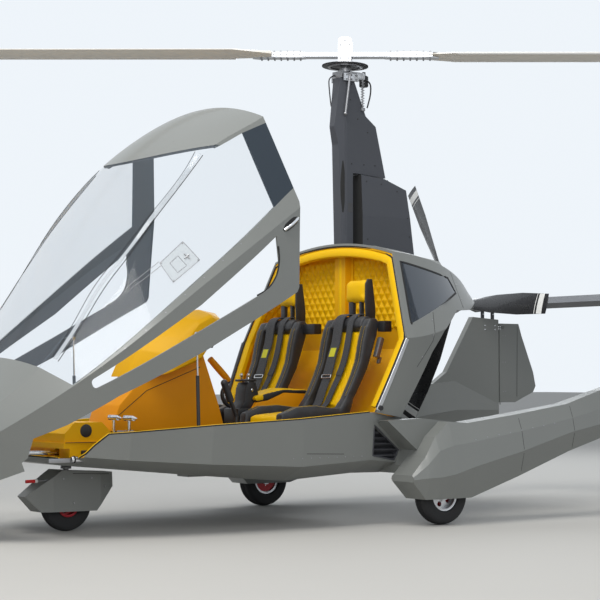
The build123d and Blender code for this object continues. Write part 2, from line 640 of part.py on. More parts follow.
# Rotor head: fixed mount with its control rods, turning shaft with ring gear and tower, teetering bar
MOUNT_X = (-55.0, 66.0)
MOUNT_HALF = 50.0
MOUNT_TOP = ROTOR_HUB_Z - 108.0
BEARING_TOP = ROTOR_HUB_Z - 87.0
BEARING_R = 38.0
SHAFT_R = 22.0
SHAFT_FOOT = MAST_TOP + 12.0
RING_GEAR_R = 143.0
RING_GEAR_Z = ROTOR_HUB_Z - 72.0
RING_GEAR_T = 8.0
SPACER_R = 34.0
TOWER_HALF = 42.0
TOWER_FLOOR = ROTOR_HUB_Z - 55.0
TOWER_FLOOR_T = 13.0
TOWER_TOP = ROTOR_HUB_Z + 110.0
CHEEK_THICK = 12.0
CHEEK_GAP = 1.0
TEETER_BOLT_R = 8.0
BOLT_PROUD = 12.0
HUB_BAR_HALF = 560.0
HUB_BAR_W = 92.0
HUB_BAR_T = 26.0
BLADE_ROOT = 470.0
ROD_R_HEAD = 7.0
ROD_TOP = (20.0, 78.0, MOUNT_TOP - 14.0)
ROD_FOOT = (50.0, 66.0, 2545.0)


def tilted(shape):
    """Turn a rotor piece from an upright shaft to the real, slightly aft-leaning one."""
    return Pos(0, 0, ROTOR_HUB_Z) * Rot(0, -ROTOR_TILT, 0) * Rot(0, 0, ROTOR_AZIMUTH) * Pos(
        0, 0, -ROTOR_HUB_Z
    ) * shape


def upright_cylinder(radius, z0, z1):
    return cylinder_between((0, 0, z0), (0, 0, z1), radius)


mount = box_between(*MOUNT_X, -MOUNT_HALF, MOUNT_HALF, MAST_TOP + SEAT_GAP, MOUNT_TOP)
mount = mount + upright_cylinder(BEARING_R, MOUNT_TOP - 5.0, BEARING_TOP)
for side in (PORT, STARBOARD):
    top = (ROD_TOP[0], side * ROD_TOP[1], ROD_TOP[2])
    foot = (ROD_FOOT[0], side * ROD_FOOT[1], ROD_FOOT[2])
    mount = mount + cylinder_between(foot, top, ROD_R_HEAD) + Pos(*foot) * Sphere(ROD_R_HEAD * 1.6)
    mount = mount + cylinder_between(
        (ROD_TOP[0], side * (MOUNT_HALF - 2), ROD_TOP[2]),
        (ROD_TOP[0], side * (ROD_TOP[1] + 9), ROD_TOP[2]),
        11.0,
    )
nodes["rotor_mount"] = mount - tilted(upright_cylinder(SHAFT_R + FIT, SHAFT_FOOT - 2.0, BEARING_TOP + 60.0))
shaft = upright_cylinder(SHAFT_R, SHAFT_FOOT, TOWER_FLOOR + 5.0)
shaft = shaft + upright_cylinder(RING_GEAR_R, RING_GEAR_Z, RING_GEAR_Z + RING_GEAR_T)
shaft = shaft + upright_cylinder(SPACER_R, RING_GEAR_Z + 1.0, TOWER_FLOOR + 2.0)
cheek_in = HUB_BAR_W / 2 + CHEEK_GAP
cheek_out = cheek_in + CHEEK_THICK
shaft = shaft + box_between(
    -TOWER_HALF, TOWER_HALF, -cheek_out, cheek_out, TOWER_FLOOR, TOWER_FLOOR + TOWER_FLOOR_T
)
bolt_bore = cylinder_between((0, -200, ROTOR_HUB_Z), (0, 200, ROTOR_HUB_Z), TEETER_BOLT_R + FIT)
for side in (PORT, STARBOARD):
    cheek = box_between(
        -TOWER_HALF, TOWER_HALF, side * cheek_in, side * cheek_out, TOWER_FLOOR + 2.0, TOWER_TOP
    )
    cheek = chamfer(cheek.edges().filter_by(Axis.Y).group_by(Axis.Z)[-1], 14.0)
    shaft = shaft + (cheek - bolt_bore)
nodes["rotor_shaft"] = tilted(shaft)
bolt_reach = cheek_out + BOLT_PROUD
teeter_bolt = cylinder_between((0, -bolt_reach, ROTOR_HUB_Z), (0, bolt_reach, ROTOR_HUB_Z), TEETER_BOLT_R)
bar_z = (ROTOR_HUB_Z - HUB_BAR_T / 2, ROTOR_HUB_Z + HUB_BAR_T / 2)
nodes["hub_bar"] = tilted(
    box_between(-HUB_BAR_HALF, HUB_BAR_HALF, -HUB_BAR_W / 2, HUB_BAR_W / 2, *bar_z) + teeter_bolt
)


def blade_section(r, chord, thick):
    """Aerofoil from two arcs, its quarter chord on the blade axis, in the plane across the blade."""
    lead = (r, -chord * 0.3, ROTOR_HUB_Z)
    trail = (r, chord * 0.7, ROTOR_HUB_Z)
    top = ThreePointArc(lead, (r, -chord * 0.02, ROTOR_HUB_Z + thick * 0.6), trail)
    under = ThreePointArc(trail, (r, -chord * 0.02, ROTOR_HUB_Z - thick * 0.4), lead)
    return make_face(Wire([top, under]))


BLADE_TABLE = (
    (BLADE_ROOT, 110.0, BLADE_THICK),
    (700.0, BLADE_CHORD, BLADE_THICK),
    (ROTOR_R - 60.0, BLADE_CHORD, BLADE_THICK),
    (ROTOR_R, BLADE_CHORD * 0.8, BLADE_THICK * 0.7),
)
blade = loft([blade_section(*row) for row in BLADE_TABLE], ruled=True)
half_slot = HUB_BAR_W / 2 + SEAT_GAP
blade = blade - box_between(
    0, HUB_BAR_HALF + SEAT_GAP, -half_slot, half_slot, bar_z[0] - SEAT_GAP, bar_z[1] + SEAT_GAP
)
nodes["rotor_blade_fore"] = tilted(blade)
nodes["rotor_blade_aft"] = tilted(Rot(0, 0, 180) * blade)

# Propeller: three blades on a hub, driven through the cowl's end
PROP_BLADES = 3
PROP_ANGLE = 28.0
PROP_HUB_R = 62.0
PROP_HUB_T = 60.0
PROP_SHAFT_R = 24.0
# Radius, chord, thickness and pitch of the blade's sections
PROP_TABLE = (
    (45.0, 58.0, 34.0, -50.0),
    (200.0, 90.0, 24.0, -40.0),
    (400.0, 135.0, 17.0, -30.0),
    (650.0, 150.0, 12.0, -20.0),
    (PROP_R, 130.0, 7.0, -13.0),
)
hub_ends = (PROP_X - PROP_HUB_T / 2, PROP_X + PROP_HUB_T / 2)
prop_hub = cylinder_between((hub_ends[0], 0, PROP_Z), (hub_ends[1], 0, PROP_Z), PROP_HUB_R)
prop_hub = prop_hub + cylinder_between(
    (hub_ends[0] - 14.0, 0, PROP_Z), (hub_ends[0] + 1.0, 0, PROP_Z), PROP_HUB_R * 0.6
)
prop_shaft = cylinder_between((PROP_X, 0, PROP_Z), (ENGINE_REAR_X - SEAT_GAP, 0, PROP_Z), PROP_SHAFT_R)
nodes["propeller_hub"] = prop_hub + prop_shaft
nodes["cowl_shell"] = nodes["cowl_shell"] - cylinder_between(
    (-820, 0, PROP_Z), (-600, 0, PROP_Z), PROP_SHAFT_R + 5.0
)


def prop_section(r, chord, thick, pitch_deg):
    """Lens section across a propeller blade that stands up along Z."""
    c = math.cos(math.radians(pitch_deg))
    s = math.sin(math.radians(pitch_deg))
    points = ((0, -chord / 2), (thick / 2, 0), (0, chord / 2), (-thick / 2, 0))
    lead, front, trail, back = [(PROP_X + a * c - b * s, a * s + b * c, PROP_Z + r) for a, b in points]
    return make_face(Wire([ThreePointArc(lead, front, trail), ThreePointArc(trail, back, lead)]))


prop_blade = loft([prop_section(*row) for row in PROP_TABLE], ruled=True)
hub_room = cylinder_between((PROP_X - 200, 0, PROP_Z), (PROP_X + 200, 0, PROP_Z), PROP_HUB_R + SEAT_GAP)
prop_blade = prop_blade - hub_room
prop_blades = []
for n in range(PROP_BLADES):
    turn = PROP_ANGLE + n * 360.0 / PROP_BLADES
    prop_blades.append(Pos(0, 0, PROP_Z) * Rot(turn, 0, 0) * Pos(0, 0, -PROP_Z) * prop_blade)
nodes["propeller_blades"] = Compound(children=prop_blades)

# Booms, faceted, with the wheel wells in their front
# x, then height and half width of the bottom, the lower crease, the upper crease and the top
BOOM_STATIONS = (
    (290.0, 262.0, 96.0, 275.0, 104.0, 290.0, 100.0, 300.0, 84.0),
    (190.0, 157.0, 92.0, 284.0, 130.0, 362.0, 116.0, 400.0, 84.0),
    (107.0, 157.0, 104.0, 286.0, 138.0, 438.0, 120.0, 520.0, 78.0),
    (0.0, 157.0, 104.0, 302.0, 145.0, 468.0, 120.0, 607.0, 74.0),
    (-150.0, 157.0, 104.0, 341.0, 143.0, 484.0, 118.0, 597.0, 72.0),
    (-547.0, 271.0, 90.0, 422.0, 128.0, 540.0, 106.0, 643.0, 66.0),
    (-986.0, 410.0, 76.0, 530.0, 106.0, 612.0, 88.0, 701.0, 54.0),
    (-1400.0, 514.0, 54.0, 596.0, 82.0, 690.0, 64.0, 812.0, 32.0),
    (-1700.0, 524.0, 40.0, 628.0, 58.0, 720.0, 44.0, 840.0, 24.0),
    (-2140.0, 592.0, 22.0, 622.0, 26.0, 645.0, 25.0, 668.0, 24.0),
)


def boom_section(station, side):
    x = station[0]
    half = [(station[n + 1], station[n]) for n in (1, 3, 5, 7)]
    y = side * BOOM_Y
    outline = [(x, y + a, z) for a, z in half] + [(x, y - a, z) for a, z in reversed(half)]
    return make_face(Polyline(*outline, close=True))


def boom_loft(side):
    return loft([boom_section(s, side) for s in BOOM_STATIONS], ruled=True)


# Fins with a hinge lug at the top and a plate at the bottom that carry the rudder's pin
WELL_R = MAIN_TYRE_R + 14.0
WELL_HALF = MAIN_TYRE_W / 2 + 12.0
FIN_HALF = 24.0
FIN_REAR_X = -2140.0
FIN_PROFILE = (
    (-1464.0, 800.0),
    (-1624.0, 907.0),
    (-1884.0, 1316.0),
    (FIN_REAR_X, 1300.0),
    (FIN_REAR_X, 606.0),
    (-1700.0, 640.0),
)
RUDDER_FRONT_X = -2156.0
RUDDER_PROFILE = (
    (RUDDER_FRONT_X, 1272.0),
    (-2350.0, 1272.0),
    (-2382.0, 1181.0),
    (-2500.0, 908.0),
    (-2526.0, 800.0),
    (-2499.0, 754.0),
    (-2312.0, 678.0),
    (RUDDER_FRONT_X, 678.0),
)
RUDDER_HALF = 18.0
HINGE_X = -2174.0
HINGE_PIN_R = 4.0
PIN_Z = (661.0, 1260.0)
LUG_Z = 1240.0
LUG_THICK = 12.0
LUG_R = 9.0
LUG_GAP = 5.0
TAIL_PLATE_Z = (660.0, 668.0)
TAIL_PLATE_PLAN = ((-2022.0, 24.0), (-2180.0, 24.0), (-2297.0, 6.0))
for name, side in SIDES:
    y = side * BOOM_Y
    well = cylinder_between((0, y - WELL_HALF, MAIN_TYRE_R), (0, y + WELL_HALF, MAIN_TYRE_R), WELL_R)
    well = well + box_between(-WELL_R, WELL_R, y - WELL_HALF, y + WELL_HALF, 100, MAIN_TYRE_R)
    nodes[f"boom_{name}"] = boom_loft(side) - well
    fin = one_side_prism(FIN_PROFILE, side, BOOM_Y - FIN_HALF, BOOM_Y + FIN_HALF)
    fin = fin + Pos(0, y, 0) * plan_prism(TAIL_PLATE_PLAN, *TAIL_PLATE_Z)
    lug = box_between(
        FIN_REAR_X + 30.0, HINGE_X, y - LUG_R, y + LUG_R, LUG_Z - LUG_THICK / 2, LUG_Z + LUG_THICK / 2
    )
    lug = lug + cylinder_between(
        (HINGE_X, y, LUG_Z - LUG_THICK / 2), (HINGE_X, y, LUG_Z + LUG_THICK / 2), LUG_R
    )
    fin = fin + lug - cylinder_between((HINGE_X, y, 600), (HINGE_X, y, 1300), HINGE_PIN_R + FIT)
    nodes[f"fin_{name}"] = largest(fin - boom_loft(side))
    slot = LUG_THICK / 2 + LUG_GAP
    rudder = one_side_prism(RUDDER_PROFILE, side, BOOM_Y - RUDDER_HALF, BOOM_Y + RUDDER_HALF)
    rudder = rudder - box_between(HINGE_X - 26, HINGE_X + 40, y - 40, y + 40, LUG_Z - slot, LUG_Z + slot)
    nodes[f"rudder_{name}"] = rudder + cylinder_between(
        (HINGE_X, y, PIN_Z[0]), (HINGE_X, y, PIN_Z[1]), HINGE_PIN_R
    )

# Tailplane on brackets above the fins
TAIL_HALF = 1010.0
TAIL_PROFILE = ((-1900.0, 1392.0), (-1960.0, 1440.0), (-2320.0, 1404.0), (-2320.0, 1392.0), (-2010.0, 1360.0))
BRACKET_X = (-2000.0, -2100.0)
BRACKET_HALF = (14.0, 5.0)
tailplane = side_prism(TAIL_PROFILE, TAIL_HALF)
for side in (PORT, STARBOARD):
    for x in BRACKET_X:
        y = side * BOOM_Y
        bracket = box_between(
            x - BRACKET_HALF[0],
            x + BRACKET_HALF[0],
            y - BRACKET_HALF[1],
            y + BRACKET_HALF[1],
            1200.0,
            1390.0,
        )
        tailplane = tailplane + (bracket - grown_prism(FIN_PROFILE, SEAT_GAP, 1100.0))
nodes["tailplane"] = tailplane

# Stub wings between the tub's rear corners and the booms
STUB_PROFILE = (
    (384.0, 616.0),
    (160.0, 440.0),
    (204.0, 352.0),
    (190.0, 300.0),
    (-240.0, 330.0),
    (-300.0, 470.0),
    (-250.0, 590.0),
    (120.0, 626.0),
)
STUB_INNER_Y = 560.0
stub_cut = tub_loft(-SEAT_GAP) & box_between(165.0 - SEAT_GAP, 2300, -1000, 1000, 0, 700)
for name, side in SIDES:
    wing = one_side_prism(STUB_PROFILE, side, STUB_INNER_Y, BOOM_Y - 20.0)
    wing = wing - boom_loft(side) - stub_cut - roof_cut
    nodes[f"stub_wing_{name}"] = wing

# Main wheels
AXLE_R = 14.0


def wheel_ring(r_out, r_in, width, y, x, z):
    """Tyre: a ring with upright walls and a rounded tread."""
    half = width / 2
    shoulder = r_out - half * 0.5
    bead = half * 0.72
    corner = (r_out - half * 0.16, half * 0.78)
    profile = make_face(
        Wire(
            [
                Line((r_in, -bead, 0), (r_in, bead, 0)),
                Line((r_in, bead, 0), (r_in + 8, half, 0)),
                Line((r_in + 8, half, 0), (shoulder, half, 0)),
                ThreePointArc((shoulder, half, 0), (corner[0], corner[1], 0), (r_out, half * 0.35, 0)),
                Line((r_out, half * 0.35, 0), (r_out, -half * 0.35, 0)),
                ThreePointArc((r_out, -half * 0.35, 0), (corner[0], -corner[1], 0), (shoulder, -half, 0)),
                Line((shoulder, -half, 0), (r_in + 8, -half, 0)),
                Line((r_in + 8, -half, 0), (r_in, -bead, 0)),
            ]
        )
    )
    return Pos(x, y, z) * revolve(profile, axis=Axis.Y)


WHEEL_HOLES = 5


def wheel_disc(r_out, width, y, x, z, bore):
    """Wheel: rim barrel, a web set back from both faces with lightening holes, and a hub with its bore."""
    barrel = cylinder_between((x, y - width * 0.36, z), (x, y + width * 0.36, z), r_out)
    for face in (-1, 1):
        dish = cylinder_between((x, y + face * 8, z), (x, y + face * width * 0.5, z), r_out - 10)
        barrel = barrel - dish
    hub = cylinder_between((x, y - width * 0.40, z), (x, y + width * 0.40, z), bore + 16)
    wheel = barrel + hub
    hole_ring = (bore + 16 + r_out - 10) / 2
    hole_r = (r_out - 10 - bore - 16) * 0.30
    for n in range(WHEEL_HOLES):
        turn = 2 * math.pi * n / WHEEL_HOLES
        place = (x + hole_ring * math.cos(turn), z + hole_ring * math.sin(turn))
        wheel = wheel - cylinder_between((place[0], y - 20, place[1]), (place[0], y + 20, place[1]), hole_r)
    return wheel - cylinder_between((x, y - width, z), (x, y + width, z), bore)


axles = []
for name, side in SIDES:
    y = side * BOOM_Y
    nodes[f"main_tyre_{name}"] = wheel_ring(
        MAIN_TYRE_R, MAIN_RIM_R + SEAT_GAP, MAIN_TYRE_W, y, 0, MAIN_TYRE_R
    )
    nodes[f"main_wheel_{name}"] = wheel_disc(MAIN_RIM_R, MAIN_TYRE_W, y, 0, MAIN_TYRE_R, AXLE_R + FIT)
    reach = WELL_HALF - SEAT_GAP
    axles.append(cylinder_between((0, y - reach, MAIN_TYRE_R), (0, y + reach, MAIN_TYRE_R), AXLE_R))
nodes["main_axles"] = Compound(children=axles)

# Nose gear: leg through the tub, fork, wheel and spat
NOSE_AXLE_R = 9.0
FORK_INNER = NOSE_TYRE_W / 2 + 7.0
FORK_THICK = 8.0
FORK_TOP = 322.0
FORK_HALF = 45.0
CHEEK_HALF = 22.0
STEM_R = LEG_R - 6.0
STEM_TOP = 520.0
LEG_Z = (362.0, 500.0)
nose_y = FORK_INNER + FORK_THICK
nodes["nose_tyre"] = wheel_ring(NOSE_TYRE_R, NOSE_RIM_R + SEAT_GAP, NOSE_TYRE_W, 0, NOSE_AXLE_X, NOSE_TYRE_R)
nodes["nose_wheel"] = wheel_disc(NOSE_RIM_R, NOSE_TYRE_W, 0, NOSE_AXLE_X, NOSE_TYRE_R, NOSE_AXLE_R + FIT)
fork = box_between(NOSE_AXLE_X - FORK_HALF, NOSE_AXLE_X + FORK_HALF, -nose_y, nose_y, FORK_TOP - 12, FORK_TOP)
for side in (PORT, STARBOARD):
    cheek_x = (NOSE_AXLE_X - CHEEK_HALF, NOSE_AXLE_X + CHEEK_HALF)
    fork = fork + box_between(
        *cheek_x, side * FORK_INNER, side * nose_y, NOSE_TYRE_R - CHEEK_HALF, FORK_TOP - 6
    )
fork = fork + cylinder_between(
    (NOSE_AXLE_X, -nose_y - 4, NOSE_TYRE_R), (NOSE_AXLE_X, nose_y + 4, NOSE_TYRE_R), NOSE_AXLE_R
)
nodes["nose_fork"] = fork + cylinder_between(
    (NOSE_AXLE_X, 0, FORK_TOP - 4), (NOSE_AXLE_X, 0, STEM_TOP), STEM_R
)

# Nose spat: a faceted shell, tapered in plan and open below
SPAT_PROFILE = (
    (2280.0, 205.0),
    (2065.0, 349.0),
    (1826.0, 333.0),
    (1735.0, 329.0),
    (1730.0, 247.0),
    (1844.0, 113.0),
    (2186.0, 116.0),
)
SPAT_HALF = nose_y + 24.0
SPAT_WALL = 6.0
SPAT_PLAN = ((2290.0, 44.0), (2120.0, SPAT_HALF), (1820.0, SPAT_HALF), (1720.0, SPAT_HALF - 26.0))
MOUTH_X = (NOSE_AXLE_X - 165.0, NOSE_AXLE_X + 165.0)


def spat_plan(growth):
    return plan_prism([(x, half + growth) for x, half in SPAT_PLAN], 50.0, 400.0)


spat = side_prism(SPAT_PROFILE, SPAT_HALF) & spat_plan(0.0)
spat = spat - (grown_prism(SPAT_PROFILE, -SPAT_WALL, SPAT_HALF) & spat_plan(-SPAT_WALL))
spat = spat - (
    box_between(*MOUTH_X, -SPAT_HALF + SPAT_WALL, SPAT_HALF - SPAT_WALL, 60, 200) & spat_plan(-SPAT_WALL)
)
spat = spat - cylinder_between((NOSE_AXLE_X, 0, 300), (NOSE_AXLE_X, 0, 400), STEM_R + SEAT_GAP)
nodes["nose_spat"] = spat
leg = cylinder_between((NOSE_AXLE_X, 0, LEG_Z[0]), (NOSE_AXLE_X, 0, LEG_Z[1]), LEG_R)
nodes["nose_leg"] = leg - cylinder_between((NOSE_AXLE_X, 0, 300), (NOSE_AXLE_X, 0, 600), STEM_R + FIT)
nodes["tub_shell"] = nodes["tub_shell"] - cylinder_between(
    (NOSE_AXLE_X, 0, 300), (NOSE_AXLE_X, 0, 520), LEG_R + SEAT_GAP
)

# Canopy carriage: two bars in guides on the tub floor, joined by the pivot tube
BAR_LENGTH = 405.0
EAR_Y = 382.0
EAR_THICK = 14.0
EAR_R = 21.0
PIVOT_TUBE_HALF = EAR_Y + EAR_THICK + 10.0
GUIDE_WALL = 5.0
GUIDE_SPAN = (-250.0, -45.0)
BRACKET_REACH = 150.0
pivot_x, pivot_z = TILT_PIVOT
rise_slope = CARRIAGE_RISE / CARRIAGE_TRAVEL


def on_bar(dx, y):
    """Point on a guide's axis, measured along X from the shut pivot."""
    return (pivot_x + dx, y, pivot_z + dx * rise_slope)


bars = cylinder_between(
    on_bar(CARRIAGE_TRAVEL, -PIVOT_TUBE_HALF), on_bar(CARRIAGE_TRAVEL, PIVOT_TUBE_HALF), PIVOT_TUBE_R
)
guides = []
for side in (PORT, STARBOARD):
    y = side * BAR_Y
    bars = bars + cylinder_between(on_bar(CARRIAGE_TRAVEL - BAR_LENGTH, y), on_bar(CARRIAGE_TRAVEL, y), BAR_R)
    guide = cylinder_between(on_bar(GUIDE_SPAN[0], y), on_bar(GUIDE_SPAN[1], y), BAR_R + GUIDE_WALL)
    foot = box_between(
        pivot_x + GUIDE_SPAN[0] + 20, pivot_x + GUIDE_SPAN[1] - 20, y - 10, y + 10, 300, pivot_z - 10
    )
    guide = on_floor(guide + foot)
    guides.append(
        guide - cylinder_between(on_bar(GUIDE_SPAN[0] - 50, y), on_bar(GUIDE_SPAN[1] + 50, y), BAR_R + FIT)
    )
nodes["carriage_bars"] = bars
nodes["carriage_guides"] = Compound(children=guides)
bracket_room = hull_loft(CANOPY_STATIONS, CANOPY_FLOOR, CANOPY_WALL + SEAT_GAP)
brackets = []
for side in (PORT, STARBOARD):
    ear_y = (side * EAR_Y, side * (EAR_Y + EAR_THICK))
    bracket = cylinder_between((pivot_x, ear_y[0], pivot_z), (pivot_x, ear_y[1], pivot_z), EAR_R)
    bracket = bracket + box_between(pivot_x, pivot_x + BRACKET_REACH, *ear_y, pivot_z - 14, pivot_z + 14)
    bracket = bracket + box_between(
        pivot_x + BRACKET_REACH - 40,
        pivot_x + BRACKET_REACH,
        ear_y[0],
        side * 700,
        pivot_z - 14,
        pivot_z + 14,
    )
    bracket = (bracket & bracket_room) - cylinder_between(
        (pivot_x, -500, pivot_z), (pivot_x, 500, pivot_z), PIVOT_TUBE_R + FIT
    )
    brackets.append(opened(bracket))
nodes["canopy_brackets"] = Compound(children=brackets)

# Gas struts between the tub wall and the lower rail
STRUT_Y = 706.0
STRUT_FOOT = (1560.0, 578.0)
STRUT_EYE_SHUT = (1103.0, 672.0)
STRUT_PIN_R = 6.0
STRUT_EYE_R = 11.0
ROD_EYE_R = 9.0
STRUT_EYE_HALF = 7.0
TUBE_R = 10.0
ROD_R = 5.0
TUBE_LENGTH = 300.0
ROD_IN_TUBE = 120.0
TUBE_FLOOR = 30.0
PIN_END_GAP = 2.0
FOOT_PIN_Y = 745.0
EYE_PIN_Y = 835.0


def carried_point(x, z):
    """Where a point of the shut canopy goes when it opens."""
    turn = math.radians(TILT_OPEN)
    dx = x - pivot_x
    dz = z - pivot_z
    return (
        pivot_x + CARRIAGE_TRAVEL + dx * math.cos(turn) + dz * math.sin(turn),
        pivot_z + CARRIAGE_RISE - dx * math.sin(turn) + dz * math.cos(turn),
    )


foot_x, foot_z = STRUT_FOOT
eye_x, eye_z = carried_point(*STRUT_EYE_SHUT)
strut_reach = math.hypot(eye_x - foot_x, eye_z - foot_z)


def on_strut(distance, y):
    """Point on a strut's axis, measured from its foot, in the open pose."""
    share = distance / strut_reach
    return (foot_x + (eye_x - foot_x) * share, y, foot_z + (eye_z - foot_z) * share)


for name, side in SIDES:
    y = side * STRUT_Y
    y_in = y - side * STRUT_EYE_HALF
    y_out = y + side * STRUT_EYE_HALF
    foot_pin = cylinder_between(
        (foot_x, y_in - side * 3, foot_z), (foot_x, side * FOOT_PIN_Y, foot_z), STRUT_PIN_R
    )
    nodes["tub_shell"] = nodes["tub_shell"] + foot_pin
    tube = cylinder_between(on_strut(0, y), on_strut(TUBE_LENGTH, y), TUBE_R)
    tube = tube + cylinder_between((foot_x, y_in, foot_z), (foot_x, y_out, foot_z), STRUT_EYE_R)
    tube = tube - cylinder_between(on_strut(TUBE_FLOOR, y), on_strut(TUBE_LENGTH + 10, y), ROD_R + FIT)
    tube = tube - cylinder_between((foot_x, y - 40, foot_z), (foot_x, y + 40, foot_z), STRUT_PIN_R + FIT)
    nodes[f"strut_tube_{name}"] = tube
    rod = cylinder_between(on_strut(ROD_IN_TUBE, y), on_strut(strut_reach, y), ROD_R)
    nodes[f"strut_rod_{name}"] = rod + cylinder_between(
        (eye_x, y_in, eye_z), (eye_x, y_out, eye_z), ROD_EYE_R
    )
    pin_root = (STRUT_EYE_SHUT[0], y_out + side * PIN_END_GAP, STRUT_EYE_SHUT[1])
    eye_pin = cylinder_between(
        pin_root, (STRUT_EYE_SHUT[0], side * EYE_PIN_Y, STRUT_EYE_SHUT[1]), STRUT_PIN_R
    )
    nodes[f"side_frame_{name}"] = opened(side_frames[name] + eye_pin)

for name, shape in nodes.items():
    solids = shape.solids()
    ok = all(s.is_valid for s in solids)
    print(f"{name:24s} {'ok' if ok else 'BAD'} {len(solids)}")
    export_step(shape, f"parts/{name}.step")
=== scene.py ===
# Looks of a side-by-side two-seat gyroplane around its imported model.
# Frame in metres: +X forward, +Y to port, +Z up, ground at zero. Tables are in millimetres.
import math

import bmesh
import bpy
from bpy.props import FloatProperty, FloatVectorProperty, IntProperty, PointerProperty
from mathutils import Matrix, Vector
from mathutils.bvhtree import BVHTree


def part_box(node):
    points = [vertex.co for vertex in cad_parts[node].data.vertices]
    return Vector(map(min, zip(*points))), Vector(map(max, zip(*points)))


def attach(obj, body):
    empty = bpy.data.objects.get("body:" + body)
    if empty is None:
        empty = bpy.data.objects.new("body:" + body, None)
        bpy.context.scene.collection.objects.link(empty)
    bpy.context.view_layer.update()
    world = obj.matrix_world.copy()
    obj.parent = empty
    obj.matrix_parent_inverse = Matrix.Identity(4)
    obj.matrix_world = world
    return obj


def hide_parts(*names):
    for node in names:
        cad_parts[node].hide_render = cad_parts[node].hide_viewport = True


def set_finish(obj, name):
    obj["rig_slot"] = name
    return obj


bl_info = {
    "name": "Two-seat gyroplane",
    "version": (1, 0, 0),
    "blender": (4, 5, 0),
    "location": "3D View > Sidebar > Gyroplane",
    "description": "Builds the finishes and small pieces of a two-seat gyroplane",
    "category": "Object",
}

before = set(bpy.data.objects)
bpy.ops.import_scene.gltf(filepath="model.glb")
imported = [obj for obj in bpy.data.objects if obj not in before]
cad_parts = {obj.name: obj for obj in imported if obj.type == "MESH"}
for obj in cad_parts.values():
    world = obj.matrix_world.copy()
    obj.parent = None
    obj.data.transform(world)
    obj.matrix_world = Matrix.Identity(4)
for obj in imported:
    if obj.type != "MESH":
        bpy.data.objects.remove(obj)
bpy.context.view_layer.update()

MM = 0.001
# Distance from the centre plane at which rays towards the hull start
SIDE_REACH = 1200.0
CANOPY_REACH = 1300.0
SIDES = (("port", 1), ("starboard", -1))

# Opening motion of the canopy: its pivot, angle, travel and rise
TILT_PIVOT = (2200.0, 455.0)
TILT_OPEN = math.radians(24.3)
CARRIAGE_TRAVEL = 285.0
CARRIAGE_RISE = 5.0

# Tub sections: x, half width at the top, then half width and height of the chine and of the keel
TUB_TOP = 760.0
TUB_STATIONS = (
    (165.0, 770.0, 742.0, 362.0, 540.0, 296.0),
    (400.0, 800.0, 762.0, 385.0, 560.0, 300.0),
    (900.0, 812.0, 770.0, 360.0, 560.0, 270.0),
    (1500.0, 796.0, 740.0, 390.0, 520.0, 322.0),
    (1950.0, 680.0, 625.0, 420.0, 400.0, 365.0),
    (2170.0, 540.0, 490.0, 440.0, 290.0, 385.0),
    (2245.0, 450.0, 400.0, 444.0, 200.0, 398.0),
)
SILL_LINE = (
    (430.0, 662.0),
    (940.0, 627.0),
    (1480.0, 602.0),
    (2050.0, 560.0),
    (2110.0, 500.0),
    (2165.0, 432.0),
    (2238.0, 427.0),
)
SILL_GAP_X = 2172.0
SILL_RADIUS = 5.0
RIM_LINE = ((400.0, 664.0), (205.0, 1109.0), (112.0, 1622.0), (94.0, 1760.0))
REAR_WINDOW = ((75.0, 1570.0), (-390.0, 1489.0), (-435.0, 1396.0), (140.0, 1186.0))
GRILLE = ((388.0, 588.0), (388.0, 410.0), (214.0, 380.0), (182.0, 438.0))
SEAM_LINE = (
    (600.0, 1560.0),
    (831.0, 1450.0),
    (1058.0, 1340.0),
    (1241.0, 1236.0),
    (1403.0, 1150.0),
    (1523.0, 1080.0),
    (1700.0, 968.0),
    (1880.0, 866.0),
)

# Wheels
MAIN_TYRE = (175.0, 92.0, 100.0)
NOSE_TYRE = (150.0, 68.0, 88.0)
NOSE_AXLE_X = 2000.0
BOOM_Y = 920.0

# Rotor and propeller
ROTOR_HUB_Z = 2930.0
ROTOR_AZIMUTH = math.radians(-42.0)
ROTOR_TILT = math.radians(1.5)
PROP_X = -900.0
PROP_Z = 1360.0
PROP_ANGLE = 28.0
PROP_BLADES = 3

# Seats
SEAT_Y = 362.0

# Camera of the reference view
CAMERA_PLACE = (6.642, 8.647, 0.875)
CAMERA_YAW = math.radians(36.0)
CAMERA_PITCH = math.radians(2.55)
CAMERA_LENS = 102.6
CAMERA_SENSOR = 36.0


class StageSettings(bpy.types.PropertyGroup):
    reach: FloatProperty(
        name="Floor reach", description="Half side of the floor", default=60.0, unit="LENGTH"
    )
    floor_color: FloatVectorProperty(
        name="Floor colour", description="Colour of the floor", default=(0.50, 0.485, 0.455), subtype="COLOR"
    )
    sky_color: FloatVectorProperty(
        name="Backdrop colour", description="Colour behind the object", default=(
            0.86, 0.91, 0.96
        ), subtype="COLOR"
    )
    fill: FloatProperty(name="Fill", description="Strength of the even light", default=0.48)
    key: FloatProperty(name="Key", description="Strength of the large lamp above", default=560.0)


class FinishSettings(bpy.types.PropertyGroup):
    body: FloatVectorProperty(
        name="Body colour", description="Satin paint of the hull", default=(
            0.205, 0.212, 0.200
        ), subtype="COLOR"
    )
    mast: FloatVectorProperty(
        name="Mast colour", description="Dark paint of mast and arch", default=(
            0.058, 0.062, 0.074
        ), subtype="COLOR"
    )
    yellow: FloatVectorProperty(
        name="Trim colour", description="Yellow leather and mouldings", default=(
            0.95, 0.56, 0.0
        ), subtype="COLOR"
    )
    blade: FloatVectorProperty(
        name="Blade colour", description="Paint of the rotor blades", default=(
            0.75, 0.70, 0.62
        ), subtype="COLOR"
    )


